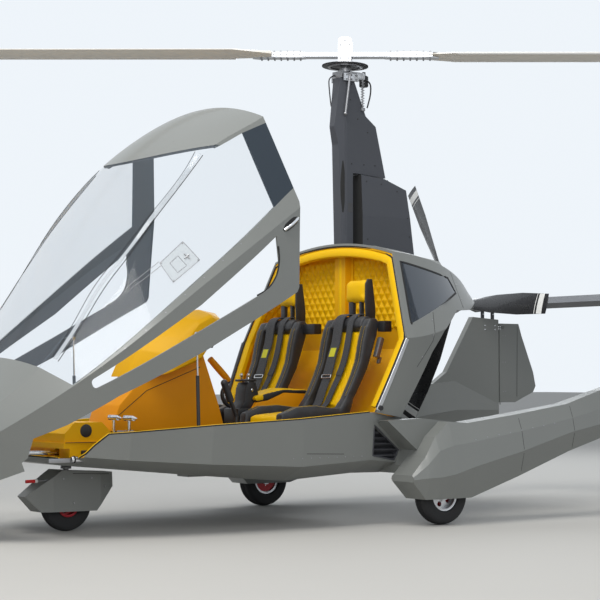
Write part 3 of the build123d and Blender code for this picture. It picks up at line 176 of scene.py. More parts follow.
class TyreSettings(bpy.types.PropertyGroup):
    grooves: IntProperty(name="Grooves", description="Grooves round the tread", default=4)
    groove_depth: FloatProperty(name="Groove depth", description="Depth of a groove in mm", default=3.5)
    groove_width: FloatProperty(name="Groove width", description="Width of a groove in mm", default=4.5)
    steps: IntProperty(name="Steps", description="Steps round a tyre", default=72)


class SeatSettings(bpy.types.PropertyGroup):
    voxel: FloatProperty(
        name="Voxel", description="Remesh size of a pad in metres", default=0.0075, unit="LENGTH"
    )
    pressure: FloatProperty(name="Pressure", description="Cloth pressure in a pad", default=4.0)
    cap: FloatProperty(name="Cap", description="Most that a point may swell", default=0.012, unit="LENGTH")
    frames: IntProperty(name="Frames", description="Steps of the cloth simulation", default=20)
    quilt_pitch: FloatProperty(
        name="Quilt pitch", description="Pitch of the seat's diamonds in mm", default=62.0
    )
    quilt_depth: FloatProperty(
        name="Quilt depth", description="Depth of the seat's sewn lines", default=0.004, unit="LENGTH"
    )
    stitch_pitch: FloatProperty(
        name="Stitch pitch", description="Pitch of the seam stitches in mm", default=9.0
    )


class QuiltSettings(bpy.types.PropertyGroup):
    across: FloatProperty(name="Across", description="Width of a diamond in mm", default=58.0)
    up: FloatProperty(name="Up", description="Height of a diamond in mm", default=84.0)
    depth: FloatProperty(name="Depth", description="Height of a diamond's crown in mm", default=17.0)
    step: FloatProperty(name="Step", description="Grid of the panel in mm", default=5.0)


class GyroplaneSettings(bpy.types.PropertyGroup):
    stage: PointerProperty(type=StageSettings)
    finish: PointerProperty(type=FinishSettings)
    tyre: PointerProperty(type=TyreSettings)
    seat: PointerProperty(type=SeatSettings)
    quilt: PointerProperty(type=QuiltSettings)


def mm(x, y, z):
    return Vector((x, y, z)) * MM


def opened(x, y, z):
    """Where a point of the shut canopy lies in the open pose, in metres."""
    dx = x - TILT_PIVOT[0]
    dz = z - TILT_PIVOT[1]
    c = math.cos(TILT_OPEN)
    s = math.sin(TILT_OPEN)
    return mm(
        TILT_PIVOT[0] + CARRIAGE_TRAVEL + dx * c + dz * s,
        y,
        TILT_PIVOT[1] + CARRIAGE_RISE - dx * s + dz * c,
    )


def shut_of(point):
    """Shut place in mm of a point of the open canopy in metres."""
    dx = point.x / MM - TILT_PIVOT[0] - CARRIAGE_TRAVEL
    dz = point.z / MM - TILT_PIVOT[1] - CARRIAGE_RISE
    c = math.cos(TILT_OPEN)
    s = math.sin(TILT_OPEN)
    return (TILT_PIVOT[0] + dx * c - dz * s, point.y / MM, TILT_PIVOT[1] + dx * s + dz * c)


def on_rotor(x, y, z):
    """Place in metres of a point given along the blades, across them and above the hub."""
    turn = Matrix.Rotation(-ROTOR_TILT, 4, "Y") @ Matrix.Rotation(ROTOR_AZIMUTH, 4, "Z")
    return turn @ mm(x, y, z) + mm(0, 0, ROTOR_HUB_Z)


def between(line, x):
    """Height of a line of (x, z) corners at one x, which fall or rise along the line."""
    rows = sorted(line)
    if x <= rows[0][0]:
        return rows[0][1]
    for (x0, z0), (x1, z1) in zip(rows, rows[1:]):
        if x <= x1:
            return z0 + (z1 - z0) * (x - x0) / (x1 - x0)
    return rows[-1][1]


def tub_half(x, z):
    """Half width of the tub's outer skin."""
    last = len(TUB_STATIONS) - 2
    n = min(max([i for i, row in enumerate(TUB_STATIONS) if row[0] <= x] or [0]), last)
    a = TUB_STATIONS[n]
    b = TUB_STATIONS[n + 1]
    t = min(1.0, max(0.0, (x - a[0]) / (b[0] - a[0])))
    top, chine, chine_z, keel, keel_z = [p + (q - p) * t for p, q in zip(a[1:], b[1:])]
    if z >= chine_z:
        return chine + (top - chine) * (z - chine_z) / (TUB_TOP - chine_z)
    return keel + (chine - keel) * max(0.0, z - keel_z) / (chine_z - keel_z)


# Materials, whose names start with a word that no carried-over material has
LOOK = "look_"
# Sockets of a Mix node in colour mode
MIX_LOW = 6
MIX_HIGH = 7
MIX_RESULT = 2
# Name, colour or the setting that gives it, roughness, metal,
# tone as (scale, share), grain as (kind, scale, strength) and other sockets
FINISHES = (
    ("satin_body", "body", 0.36, 0.0, (2.2, 0.035), ("noise", 900.0, 0.02), {"Coat Weight": 0.12}),
    ("satin_mast", "mast", 0.42, 0.0, (5.0, 0.06), ("noise", 700.0, 0.03), {}),
    ("arch_paint", (0.012, 0.022, 0.034), 0.5, 0.0, (5.0, 0.06), ("noise", 700.0, 0.03), {}),
    ("dark_inside", (0.06, 0.062, 0.07), 0.6, 0.0, (9.0, 0.15), ("cells", 500.0, 0.08), {}),
    (
        "yellow_leather",
        "yellow",
        0.5,
        0.0,
        (14.0, 0.05),
        ("cells", 420.0, 0.16),
        {"Specular IOR Level": 0.25},
    ),
    (
        "yellow_moulding",
        (0.90, 0.47, 0.002),
        0.5,
        0.0,
        (6.0, 0.05),
        ("cells", 700.0, 0.08),
        {"Specular IOR Level": 0.25},
    ),
    # Darker, more orange copy of the yellow moulding: painted shade standing for the yellow where it lies in
    # shade
    (
        "orange_moulding",
        (0.86, 0.33, 0.004),
        0.5,
        0.0,
        (6.0, 0.05),
        ("cells", 700.0, 0.08),
        {"Specular IOR Level": 0.25},
    ),
    ("thread", (0.62, 0.40, 0.03), 0.7, 0.0, (40.0, 0.1), ("weave", 900.0, 0.3), {}),
    (
        "black_leather",
        (0.022, 0.022, 0.025),
        0.46,
        0.0,
        (18.0, 0.2),
        ("cells", 380.0, 0.22),
        {"Sheen Weight": 0.08},
    ),
    ("black_plastic", (0.017, 0.017, 0.019), 0.44, 0.0, (12.0, 0.2), ("cells", 800.0, 0.1), {}),
    ("carpet", (0.02, 0.02, 0.022), 0.95, 0.0, (30.0, 0.35), ("noise", 1100.0, 0.6), {"Sheen Weight": 0.2}),
    ("webbing", (0.03, 0.032, 0.038), 0.72, 0.0, (20.0, 0.15), ("weave", 260.0, 0.5), {"Sheen Weight": 0.15}),
    ("tag_yellow", (0.75, 0.72, 0.03), 0.6, 0.0, (40.0, 0.08), ("weave", 300.0, 0.3), {}),
    ("rubber_seal", (0.012, 0.012, 0.012), 0.75, 0.0, (30.0, 0.25), ("noise", 900.0, 0.15), {}),
    ("tyre_rubber", (0.016, 0.016, 0.017), 0.82, 0.0, (26.0, 0.45), ("noise", 500.0, 0.35), {}),
    ("rim_alloy", (0.62, 0.63, 0.65), 0.3, 0.9, (30.0, 0.1), ("noise", 600.0, 0.06), {}),
    ("rim_red", (0.42, 0.012, 0.02), 0.34, 0.25, (20.0, 0.12), ("noise", 600.0, 0.05), {}),
    ("bare_alloy", (0.66, 0.67, 0.69), 0.3, 0.95, (8.0, 0.1), ("noise", 260.0, 0.12), {}),
    ("bright_steel", (0.72, 0.73, 0.75), 0.16, 1.0, (25.0, 0.06), ("noise", 400.0, 0.05), {}),
    ("dull_steel", (0.34, 0.34, 0.35), 0.38, 0.9, (40.0, 0.15), ("noise", 300.0, 0.15), {}),
    ("cast_engine", (0.10, 0.10, 0.105), 0.55, 0.7, (14.0, 0.2), ("noise", 240.0, 0.4), {}),
    ("blade_paint", "blade", 0.34, 0.0, (3.0, 0.05), ("noise", 500.0, 0.03), {}),
    # Paler copy of the blade paint for the leading edges: a painted highlight
    ("blade_edge", (0.80, 0.79, 0.76), 0.3, 0.0, (8.0, 0.06), ("noise", 500.0, 0.03), {}),
    (
        "prop_carbon",
        (0.016, 0.016, 0.018),
        0.28,
        0.0,
        (30.0, 0.3),
        ("weave", 170.0, 0.12),
        {"Coat Weight": 0.4},
    ),
    ("white_band", (0.82, 0.82, 0.80), 0.4, 0.0, (30.0, 0.06), ("noise", 500.0, 0.03), {}),
    ("red_cover", (0.62, 0.02, 0.02), 0.7, 0.0, (40.0, 0.15), ("weave", 300.0, 0.4), {}),
    ("screen_black", (0.006, 0.007, 0.01), 0.1, 0.0, (6.0, 0.3), ("noise", 60.0, 0.01), {"Coat Weight": 0.5}),
    ("window_tint", (0.022, 0.034, 0.052), 0.07, 0.0, (1.6, 0.3), ("noise", 4.0, 0.02), {"Coat Weight": 0.6}),
    (
        "canopy_clear",
        (0.30, 0.38, 0.46),
        0.04,
        0.0,
        (1.4, 0.05),
        ("noise", 3.0, 0.01),
        {"Alpha": 0.09, "Specular IOR Level": 1.0},
    ),
    ("vent_frosted", (0.52, 0.56, 0.58), 0.3, 0.0, (12.0, 0.05), ("noise", 400.0, 0.1), {"Alpha": 0.6}),
    ("seam_clear", (0.62, 0.66, 0.70), 0.12, 0.0, (6.0, 0.08), ("noise", 90.0, 0.04), {"Alpha": 0.6}),
)
# Slot of a piece by its finish
SLOTS = {
    "bare_alloy": "bare_alloy",
    "black_leather": "black_plastic",
    "black_plastic": "black_plastic",
    # The painted highlight of the blade edges keeps the blade paint's slot
    "blade_edge": "blade_paint",
    "bright_steel": "steel",
    "cast_engine": "mast_paint",
    "dark_inside": "black_plastic",
    "dull_steel": "steel",
    # The painted-shade copy of the yellow moulding keeps the yellow moulding's slot
    "orange_moulding": "yellow_plastic",
    "red_cover": "rim_red",
    "rubber_seal": "black_plastic",
    "satin_body": "body_paint",
    "satin_mast": "mast_paint",
    "screen_black": "black_plastic",
    "seam_clear": "canopy_clear",
    "tag_yellow": "yellow_trim",
    "thread": "yellow_trim",
    "tyre_rubber": "tyre",
    "vent_frosted": "canopy_clear",
    "webbing": "black_fabric",
    "white_band": "blade_paint",
    "yellow_leather": "yellow_trim",
    "yellow_moulding": "yellow_plastic",
}
# Drawn out along z
STRETCHED = {"bare_alloy": 8.0, "blade_paint": 4.0}


def node(tree, kind, inputs=(), **values):
    made = tree.nodes.new(kind)
    for key, value in values.items():
        setattr(made, key, value)
    for key, value in inputs:
        if isinstance(value, bpy.types.NodeSocket):
            tree.links.new(value, made.inputs[key])
        else:
            made.inputs[key].default_value = value
    return made


def surface(name, color, rough, metal, tone, grain, sockets):
    """Finish whose tone and gloss drift over the piece, with a fine grain in its relief.

    tone is a scale and a share of the colour. grain is a kind, a scale and a strength.
    """
    material = bpy.data.materials.new(LOOK + name)
    material.use_nodes = True
    tree = material.node_tree
    shader = tree.nodes["Principled BSDF"]
    shader.inputs["Metallic"].default_value = metal
    for key, value in sockets.items():
        shader.inputs[key].default_value = value
    place = node(tree, "ShaderNodeTexCoord").outputs["Object"]
    stretch = (1.0, 1.0, STRETCHED.get(name, 1.0))
    turned = node(tree, "ShaderNodeMapping", (("Vector", place), ("Scale", stretch))).outputs["Vector"]
    drift = node(
        tree,
        "ShaderNodeTexNoise",
        (("Vector", turned), ("Scale", tone[0]), ("Detail", 5.0), ("Roughness", 0.6)),
    )
    pale = [min(1.0, c * (1.0 + tone[1])) for c in color[:3]]
    deep = [c * (1.0 - tone[1]) for c in color[:3]]
    mixed = node(tree, "ShaderNodeMix", data_type="RGBA")
    tree.links.new(drift.outputs["Fac"], mixed.inputs["Factor"])
    mixed.inputs[MIX_LOW].default_value = (*deep, 1.0)
    mixed.inputs[MIX_HIGH].default_value = (*pale, 1.0)
    tree.links.new(mixed.outputs[MIX_RESULT], shader.inputs["Base Color"])
    gloss = node(
        tree,
        "ShaderNodeMapRange",
        (("Value", drift.outputs["Fac"]), ("To Min", rough * 0.85), ("To Max", min(1.0, rough * 1.15))),
    )
    tree.links.new(gloss.outputs["Result"], shader.inputs["Roughness"])
    kind, scale, strength = grain
    if kind == "cells":
        relief = node(
            tree, "ShaderNodeTexVoronoi", (("Vector", turned), ("Scale", scale))
        ).outputs["Distance"]
    elif kind == "weave":
        across = node(
            tree,
            "ShaderNodeTexWave",
            (("Vector", turned), ("Scale", scale), ("Distortion", 0.4)),
            bands_direction="X",
        )
        along = node(
            tree,
            "ShaderNodeTexWave",
            (("Vector", turned), ("Scale", scale), ("Distortion", 0.4)),
            bands_direction="Z",
        )
        crossed = node(tree, "ShaderNodeMath", operation="MULTIPLY")
        tree.links.new(across.outputs["Fac"], crossed.inputs[0])
        tree.links.new(along.outputs["Fac"], crossed.inputs[1])
        relief = crossed.outputs["Value"]
    else:
        relief = node(
            tree, "ShaderNodeTexNoise", (("Vector", turned), ("Scale", scale), ("Detail", 3.0))
        ).outputs["Fac"]
    bump = node(tree, "ShaderNodeBump", (("Height", relief), ("Strength", strength), ("Distance", 0.002)))
    tree.links.new(bump.outputs["Normal"], shader.inputs["Normal"])
    return material


def all_finishes(settings):
    """Make every finish of the craft."""
    for name, color, *rest in FINISHES:
        surface(name, getattr(settings, color) if isinstance(color, str) else color, *rest)


def finish_of(name):
    return bpy.data.materials[LOOK + name]


# Mesh making
def fixed(made, body, slot):
    """Link a finished object and fix it to its body and slot."""
    bpy.context.scene.collection.objects.link(made)
    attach(made, body)
    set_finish(made, slot)
    return made


def add_piece(name, bm, finish, body="root", slot=None, smooth=35.0):
    """Close and smooth a mesh and make it a piece."""
    bmesh.ops.remove_doubles(bm, verts=bm.verts, dist=1e-6)
    bmesh.ops.recalc_face_normals(bm, faces=bm.faces)
    mesh = bpy.data.meshes.new(name)
    bm.to_mesh(mesh)
    bm.free()
    mesh.materials.append(finish_of(finish))
    mesh.shade_smooth()
    mesh.set_sharp_from_angle(angle=math.radians(smooth))
    return fixed(bpy.data.objects.new(name, mesh), body, slot or SLOTS[finish])


def frames_along(path, closed, outs=None):
    """Side and out directions at every point of a path."""
    count = len(path)
    rows = []
    last = None
    for n in range(count):
        ahead = path[(n + 1) % count] if closed else path[min(n + 1, count - 1)]
        back = path[(n - 1) % count] if closed else path[max(n - 1, 0)]
        tangent = (ahead - back).normalized()
        out = outs[n] if outs else last or Vector((0.0, 0.0, 1.0))
        if abs(tangent.dot(out.normalized())) > 0.98:
            out = Vector((1.0, 0.0, 0.0)) if abs(tangent.x) < 0.9 else Vector((0.0, 1.0, 0.0))
        side = tangent.cross(out).normalized()
        out = side.cross(tangent).normalized()
        last = out
        rows.append((side, out))
    return rows


def sweep(path, outline, closed=False, outs=None, scales=None, bm=None):
    """Carry an outline of (side, out) metres along a path of points, with closed ends."""
    bm = bm or bmesh.new()
    rings = []
    for n, (point, (side, out)) in enumerate(zip(path, frames_along(path, closed, outs))):
        grow = scales[n] if scales else 1.0
        rings.append([bm.verts.new(point + side * a * grow + out * b * grow) for a, b in outline])
    count = len(outline)
    spans = list(zip(rings, rings[1:])) + ([(rings[-1], rings[0])] if closed else [])
    for low, high in spans:
        for k in range(count):
            bm.faces.new((low[k], low[(k + 1) % count], high[(k + 1) % count], high[k]))
    if not closed:
        bm.faces.new(rings[0])
        bm.faces.new(list(reversed(rings[-1])))
    return bm


def round_outline(radius, sides=12):
    return [
        (radius * MM * math.cos(2 * math.pi * n / sides), radius * MM * math.sin(2 * math.pi * n / sides))
        for n in range(sides)
    ]


def flat_outline(width, thick, lift=0.0):
    """Flat band with eased edges, lying on its surface."""
    w = width / 2 * MM
    t = thick * MM
    low = lift * MM
    return [
        (-w, low),
        (w, low),
        (w, low + t * 0.5),
        (w - t * 0.5, low + t),
        (-w + t * 0.5, low + t),
        (-w, low + t * 0.5),
    ]


def tube(points, radius, bm=None, sides=12):
    return sweep([Vector(p) for p in points], round_outline(radius, sides), bm=bm)


def smooth_path(points, steps=6):
    """Points on a flowing line through the given ones."""
    rows = [Vector(p) for p in points]
    out = []
    for n in range(len(rows) - 1):
        a = rows[max(n - 1, 0)]
        b = rows[n]
        c = rows[n + 1]
        d = rows[min(n + 2, len(rows) - 1)]
        for k in range(steps):
            t = k / steps
            out.append(
                0.5 * (
                    2 * b + (c - a) * t + (2 * a - 5 * b + 4 * c - d) * t * t + (
                        3 * b - a - 3 * c + d
                    ) * t ** 3
                )
            )
    out.append(rows[-1])
    return out


def divided(points, step):
    """Points along straight runs, no further apart than a step in metres."""
    rows = [Vector(p) for p in points]
    out = []
    for a, b in zip(rows, rows[1:]):
        count = max(1, math.ceil((b - a).length / step))
        out += [a.lerp(b, k / count) for k in range(count)]
    return out + [rows[-1]]


def lathe(profile, centre, axis, steps=48, bm=None, close=True):
    """Turn a closed profile of (radius, along) mm about an axis through a centre in mm."""
    bm = bm or bmesh.new()
    axis = Vector(axis).normalized()
    side = axis.orthogonal().normalized()
    other = axis.cross(side)
    origin = mm(*centre)
    rings = []
    for n in range(steps):
        turn = 2 * math.pi * n / steps
        out = side * math.cos(turn) + other * math.sin(turn)
        rings.append([bm.verts.new(origin + (out * r + axis * a) * MM) for r, a in profile])
    count = len(profile)
    for n in range(steps):
        low = rings[n]
        high = rings[(n + 1) % steps]
        for k in range(count if close else count - 1):
            bm.faces.new((low[k], low[(k + 1) % count], high[(k + 1) % count], high[k]))
    bmesh.ops.remove_doubles(bm, verts=bm.verts, dist=1e-7)
    bmesh.ops.dissolve_degenerate(bm, edges=bm.edges, dist=1e-7)
    return bm


def block(low, high, ease=3.0, bm=None, turn=None, segments=2):
    """Box between two corners in mm with eased edges, turned about its centre."""
    bm = bm or bmesh.new()
    low = Vector(low) * MM
    high = Vector(high) * MM
    made = bmesh.ops.create_cube(bm, size=1.0)["verts"]
    size = high - low
    middle = (low + high) / 2
    for vert in made:
        place = Vector([a * b for a, b in zip(vert.co, size)])
        vert.co = (turn @ place if turn else place) + middle
    edges = {edge for vert in made for edge in vert.link_edges}
    if ease:
        bmesh.ops.bevel(
            bm, geom=list(edges), offset=ease * MM, segments=segments, affect="EDGES", profile=0.6
        )
    return bm


def blocks(rows):
    """Boxes from rows of low corner, high corner and ease."""
    bm = bmesh.new()
    for low, high, ease in rows:
        block(low, high, ease, bm)
    return bm


def prism(points, y_in, y_out, ease=0.0, bm=None):
    """Side outline of (x, z) mm carried across from one y to another."""
    bm = bm or bmesh.new()
    low = [bm.verts.new(mm(x, y_in, z)) for x, z in points]
    high = [bm.verts.new(mm(x, y_out, z)) for x, z in points]
    faces = [bm.faces.new(low), bm.faces.new(list(reversed(high)))]
    count = len(points)
    for n in range(count):
        faces.append(bm.faces.new((low[(n + 1) % count], low[n], high[n], high[(n + 1) % count])))
    bmesh.ops.recalc_face_normals(bm, faces=faces)
    if ease:
        edges = {edge for vert in low + high for edge in vert.link_edges}
        bmesh.ops.bevel(bm, geom=list(edges), offset=ease * MM, segments=2, affect="EDGES", profile=0.6)
    return bm


def grid_sheet(rows, bm=None):
    """Sheet of quads through rows of points."""
    bm = bm or bmesh.new()
    verts = [[bm.verts.new(p) for p in row] for row in rows]
    for low, high in zip(verts, verts[1:]):
        for k in range(len(low) - 1):
            bm.faces.new((low[k], low[k + 1], high[k + 1], high[k]))
    return bm


def tree_of(*names):
    """Search tree over pieces or nodes by name."""
    verts = []
    faces = []
    for name in names:
        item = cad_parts.get(name) or bpy.data.objects[name]
        start = len(verts)
        verts += [item.matrix_world @ v.co for v in item.data.vertices]
        faces += [[start + k for k in face.vertices] for face in item.data.polygons]
    return BVHTree.FromPolygons(verts, faces)


def cast(tree, start, direction, lift=0.0):
    """Point and outward direction where a ray meets a surface, seen from the ray's start."""
    direction = Vector(direction).normalized()
    place, normal, _, _ = tree.ray_cast(Vector(start), direction)
    if place is None:
        return None
    if normal.dot(direction) > 0:
        normal = -normal
    return place + normal * lift, normal


def strip_on(bm, tree, starts, direction, width, thick, lift=0.0, closed=False, scales=None):
    """Add a flat band laid on a surface where rays from its starts meet it."""
    hits = [cast(tree, start, direction) for start in starts]
    hits = [hit for hit in hits if hit]
    if len(hits) < 2:
        raise RuntimeError("a band's rays miss the surface")
    path = [place for place, _ in hits]
    outs = [normal for _, normal in hits]
    sweep(path, flat_outline(width, thick, lift), closed, outs, scales, bm)


def shut_hit(tree, x, z, side, lift=0.0):
    """Where a point (x, z) of the shut canopy's side view meets its open surface."""
    return cast(tree, opened(x, side * CANOPY_REACH, z), (0, -side, 0), lift)


def bolt_tree():
    """Geometry Nodes tree that stands a bolt head on every point, along its own direction."""
    found = bpy.data.node_groups.get("bolt_heads")
    if found:
        return found
    tree = bpy.data.node_groups.new("bolt_heads", "GeometryNodeTree")
    face = tree.interface
    face.new_socket("Geometry", in_out="INPUT", socket_type="NodeSocketGeometry")
    for label, kind in (("Radius", "Float"), ("Height", "Float"), ("Sides", "Int"), ("Finish", "Material")):
        face.new_socket(label, in_out="INPUT", socket_type=f"NodeSocket{kind}")
    face.new_socket("Geometry", in_out="OUTPUT", socket_type="NodeSocketGeometry")
    start = tree.nodes.new("NodeGroupInput")
    end = tree.nodes.new("NodeGroupOutput")
    head = tree.nodes.new("GeometryNodeMeshCone")
    tree.links.new(start.outputs["Sides"], head.inputs["Vertices"])
    slim = node(tree, "ShaderNodeMath", operation="MULTIPLY")
    tree.links.new(start.outputs["Radius"], slim.inputs[0])
    slim.inputs[1].default_value = 0.84
    tree.links.new(slim.outputs["Value"], head.inputs["Radius Top"])
    tree.links.new(start.outputs["Radius"], head.inputs["Radius Bottom"])
    tree.links.new(start.outputs["Height"], head.inputs["Depth"])
    facing = node(tree, "GeometryNodeInputNamedAttribute", (("Name", "facing"),), data_type="FLOAT_VECTOR")
    turn = tree.nodes.new("FunctionNodeAlignRotationToVector")
    turn.axis = "Z"
    tree.links.new(facing.outputs["Attribute"], turn.inputs["Vector"])
    stand = tree.nodes.new("GeometryNodeInstanceOnPoints")
    tree.links.new(start.outputs["Geometry"], stand.inputs["Points"])
    tree.links.new(head.outputs["Mesh"], stand.inputs["Instance"])
    tree.links.new(turn.outputs["Rotation"], stand.inputs["Rotation"])
    real = tree.nodes.new("GeometryNodeRealizeInstances")
    tree.links.new(stand.outputs["Instances"], real.inputs["Geometry"])
    paint = tree.nodes.new("GeometryNodeSetMaterial")
    tree.links.new(real.outputs["Geometry"], paint.inputs["Geometry"])
    tree.links.new(start.outputs["Finish"], paint.inputs["Material"])
    tree.links.new(paint.outputs["Geometry"], end.inputs["Geometry"])
    return tree


def scatter(name, rows, radius, height, finish, body="root", slot=None, sides=6):
    """Bolt heads or stitches, sizes in mm, one on each (point, direction)."""
    mesh = bpy.data.meshes.new(name + "_points")
    mesh.from_pydata([tuple(p) for p, _ in rows], [], [])
    facing = mesh.attributes.new("facing", "FLOAT_VECTOR", "POINT")
    facing.data.foreach_set("vector", [c for _, d in rows for c in Vector(d).normalized()])
    holder = bpy.data.objects.new(name + "_points", mesh)
    bpy.context.scene.collection.objects.link(holder)
    modifier = holder.modifiers.new("heads", "NODES")
    modifier.node_group = bolt_tree()
    sockets = {
        item.name: item.identifier
        for item in modifier.node_group.interface.items_tree
        if item.in_out == "INPUT"
    }
    modifier[sockets["Radius"]] = radius * MM
    modifier[sockets["Height"]] = height * MM
    modifier[sockets["Sides"]] = sides
    modifier[sockets["Finish"]] = finish_of(finish)
    holder.update_tag()
    ready = holder.evaluated_get(bpy.context.evaluated_depsgraph_get())
    plain = bpy.data.meshes.new_from_object(ready)
    plain.name = name
    bpy.data.objects.remove(holder)
    plain.shade_smooth()
    plain.set_sharp_from_angle(angle=math.radians(30.0))
    return fixed(bpy.data.objects.new(name, plain), body, slot or SLOTS[finish])


def studs(tree, spots):
    """Places and directions where points of a side view, (x, z) mm, meet a surface from both sides."""
    hits = [cast(tree, mm(x, side * SIDE_REACH, z), (0, -side, 0)) for _, side in SIDES for x, z in spots]
    return [hit for hit in hits if hit]


def mirrored(source, name, body):
    """Copy of a piece on the other side of the centre plane."""
    bm = bmesh.new()
    bm.from_mesh(source.data)
    for vert in bm.verts:
        vert.co.y = -vert.co.y
    bmesh.ops.reverse_faces(bm, faces=bm.faces)
    mesh = bpy.data.meshes.new(name)
    bm.to_mesh(mesh)
    bm.free()
    for entry in source.data.materials:
        mesh.materials.append(entry)
    mesh.shade_smooth()
    return fixed(bpy.data.objects.new(name, mesh), body, source["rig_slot"])


# Finishes of the carried-over solids
NODE_FINISH = (
    ("tub_shell", "satin_body"),
    ("cowl_shell", "satin_body"),
    ("nose_shell", "satin_body"),
    ("roof_panel", "satin_body"),
    ("rear_arch", "arch_paint"),
    ("windscreen", "canopy_clear"),
    ("side_frame", "satin_body"),
    ("side_glass", "canopy_clear"),
    ("rear_window", "window_tint"),
    ("cabin_liner", "yellow_moulding"),
    ("rear_bulkhead", "yellow_moulding"),
    ("engine_block", "cast_engine"),
    ("footbox", "yellow_moulding"),
    ("instrument_pod", "yellow_moulding"),
    # The pedestal takes the painted-shade copy of the yellow moulding
    ("pod_pedestal", "orange_moulding"),
    ("centre_console", "black_plastic"),
    ("seat_", "black_leather"),
    ("headrests", "black_leather"),
    # The armrest takes the painted-shade copy of the yellow moulding
    ("armrest", "orange_moulding"),
    ("pedals", "bright_steel"),
    ("control_sticks", "black_plastic"),
    ("mast_pylon", "satin_mast"),
    ("intake_fairing", "satin_mast"),
    ("rotor_mount", "dull_steel"),
    ("rotor_shaft", "bare_alloy"),
    ("hub_bar", "bare_alloy"),
    ("rotor_blade", "blade_paint"),
    ("propeller_hub", "black_plastic"),
    ("propeller_blades", "prop_carbon"),
    ("boom_", "satin_body"),
    ("fin_", "satin_body"),
    ("rudder_", "satin_body"),
    ("tailplane", "satin_mast"),
    ("stub_wing", "satin_body"),
    ("main_tyre", "tyre_rubber"),
    ("main_wheel", "rim_alloy"),
    ("main_axles", "dull_steel"),
    ("nose_tyre", "tyre_rubber"),
    ("nose_wheel", "rim_red"),
    ("nose_fork", "dull_steel"),
    ("nose_spat", "satin_body"),
    ("nose_leg", "bright_steel"),
    ("carriage_bars", "bright_steel"),
    ("carriage_guides", "dull_steel"),
    ("canopy_brackets", "dull_steel"),
    ("strut_tube", "black_plastic"),
    ("strut_rod", "bright_steel"),
)


def faces_finish(name, rows):
    """Give faces of a node their own finish by a test of their centre in mm and their direction."""
    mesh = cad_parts[name].data
    for finish, test in rows:
        index = len(mesh.materials)
        mesh.materials.append(finish_of(finish))
        for face in mesh.polygons:
            if test(face.center / MM, face.normal):
                face.material_index = index


def inside_polygon(points, x, z, grow=0.0):
    """True if (x, z) lies within corners given clockwise as seen from port, grown by a margin."""
    for (x0, z0), (x1, z1) in zip(points, points[1:] + points[:1]):
        ex = x1 - x0
        ez = z1 - z0
        if (ex * (z - z0) - ez * (x - x0)) / math.hypot(ex, ez) > grow:
            return False
    return True


def dress_nodes(settings):
    """Give every carried-over solid its finish, and some of its faces their own."""
    all_finishes(settings)
    for name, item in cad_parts.items():
        finish = next(value for key, value in NODE_FINISH if name.startswith(key))
        item.data.materials.clear()
        item.data.materials.append(finish_of(finish))

    def tub_wall(c, n):
        return 234 < c.x < 2227 and n.y * c.y < -abs(c.y) * 0.2 and abs(c.y) < tub_half(c.x, c.z) - 8

    def tub_floor(c, n):
        return n.z > 0.5 and c.z < 480 and abs(c.y) < tub_half(c.x, c.z) - 30 and 234 < c.x < 2227

    def tub_ends(c, n):
        return abs(n.x) > 0.7 and 230 < c.x < 2230 and abs(c.y) < tub_half(c.x, c.z) - 8 and c.z > 300

    def louvres(c, n):
        return inside_polygon(GRILLE, c.x, c.z, 2.0) and 650 < abs(c.y) < 757

    def pins(c, n):
        return abs(c.x - 1560) < 8 and abs(c.z - 578) < 8 and abs(c.y) < 746

    faces_finish(
        "tub_shell",
        (
            ("yellow_moulding", tub_wall),
            ("yellow_moulding", tub_ends),
            ("carpet", tub_floor),
            ("dark_inside", louvres),
            ("bright_steel", pins),
        ),
    )

    def inward(c, n):
        return n.y * c.y < -abs(c.y) * 0.25

    def underside(c, n):
        return n.z < -0.25

    for name in ("side_frame_port", "side_frame_starboard", "rear_arch"):
        faces_finish(name, (("dark_inside", inward),))
    faces_finish("roof_panel", (("dark_inside", underside),))

    def nose_inside(c, n):
        spot = shut_of(c * MM)
        return Vector((0.0, c.y, spot[2] - 600.0)).dot(Vector((0.0, n.y, n.z))) < 0 and spot[0] < 2680

    faces_finish("nose_shell", (("dark_inside", nose_inside),))

    def cowl_inside(c, n):
        return Vector((0.0, c.y, c.z - 1300.0)).dot(Vector((0.0, n.y, n.z))) < -40 and c.x < 395

    faces_finish("cowl_shell", (("dark_inside", cowl_inside),))

    def front(c, n):
        return n.x > 0.9

    faces_finish("intake_fairing", (("rubber_seal", front),))

    def gear(c, n):
        return 130 < math.hypot(c.x, c.y) or ROTOR_HUB_Z - 80 < c.z < ROTOR_HUB_Z - 58

    faces_finish("rotor_shaft", (("black_plastic", gear),))

    def console_top(c, n):
        return n.z > 0.9

    faces_finish("centre_console", (("dark_inside", console_top),))


# Wheels
def tyre_profile(radius, rim, width, settings):
    """Half-round carcass with grooves in its tread, as (radius, along) from one bead to the other."""
    half = width / 2
    rows = [
        (rim + 0.4, -half * 0.70),
        (rim + 5, -half * 0.86),
        (rim + 12, -half * 0.97),
        (radius - half * 0.62, -half),
    ]
    rows += [
        (radius - half * 0.38, -half * 0.96),
        (radius - half * 0.17, -half * 0.80),
        (radius - 4, -half * 0.60),
    ]
    tread = half * 0.52
    pitch = 2 * tread / (settings.grooves + 1)
    for n in range(settings.grooves):
        middle = -tread + pitch * (n + 1)
        crown = radius - 2.5 * (middle / tread) ** 2 - 0.4
        w = settings.groove_width / 2
        rows += [(crown, middle - w - 0.8), (crown - settings.groove_depth, middle - w)]
        rows += [(crown - settings.groove_depth, middle + w), (crown, middle + w + 0.8)]
    low = [row for row in rows[:7]]
    rows += [(r, -a) for r, a in reversed(low)]
    return rows


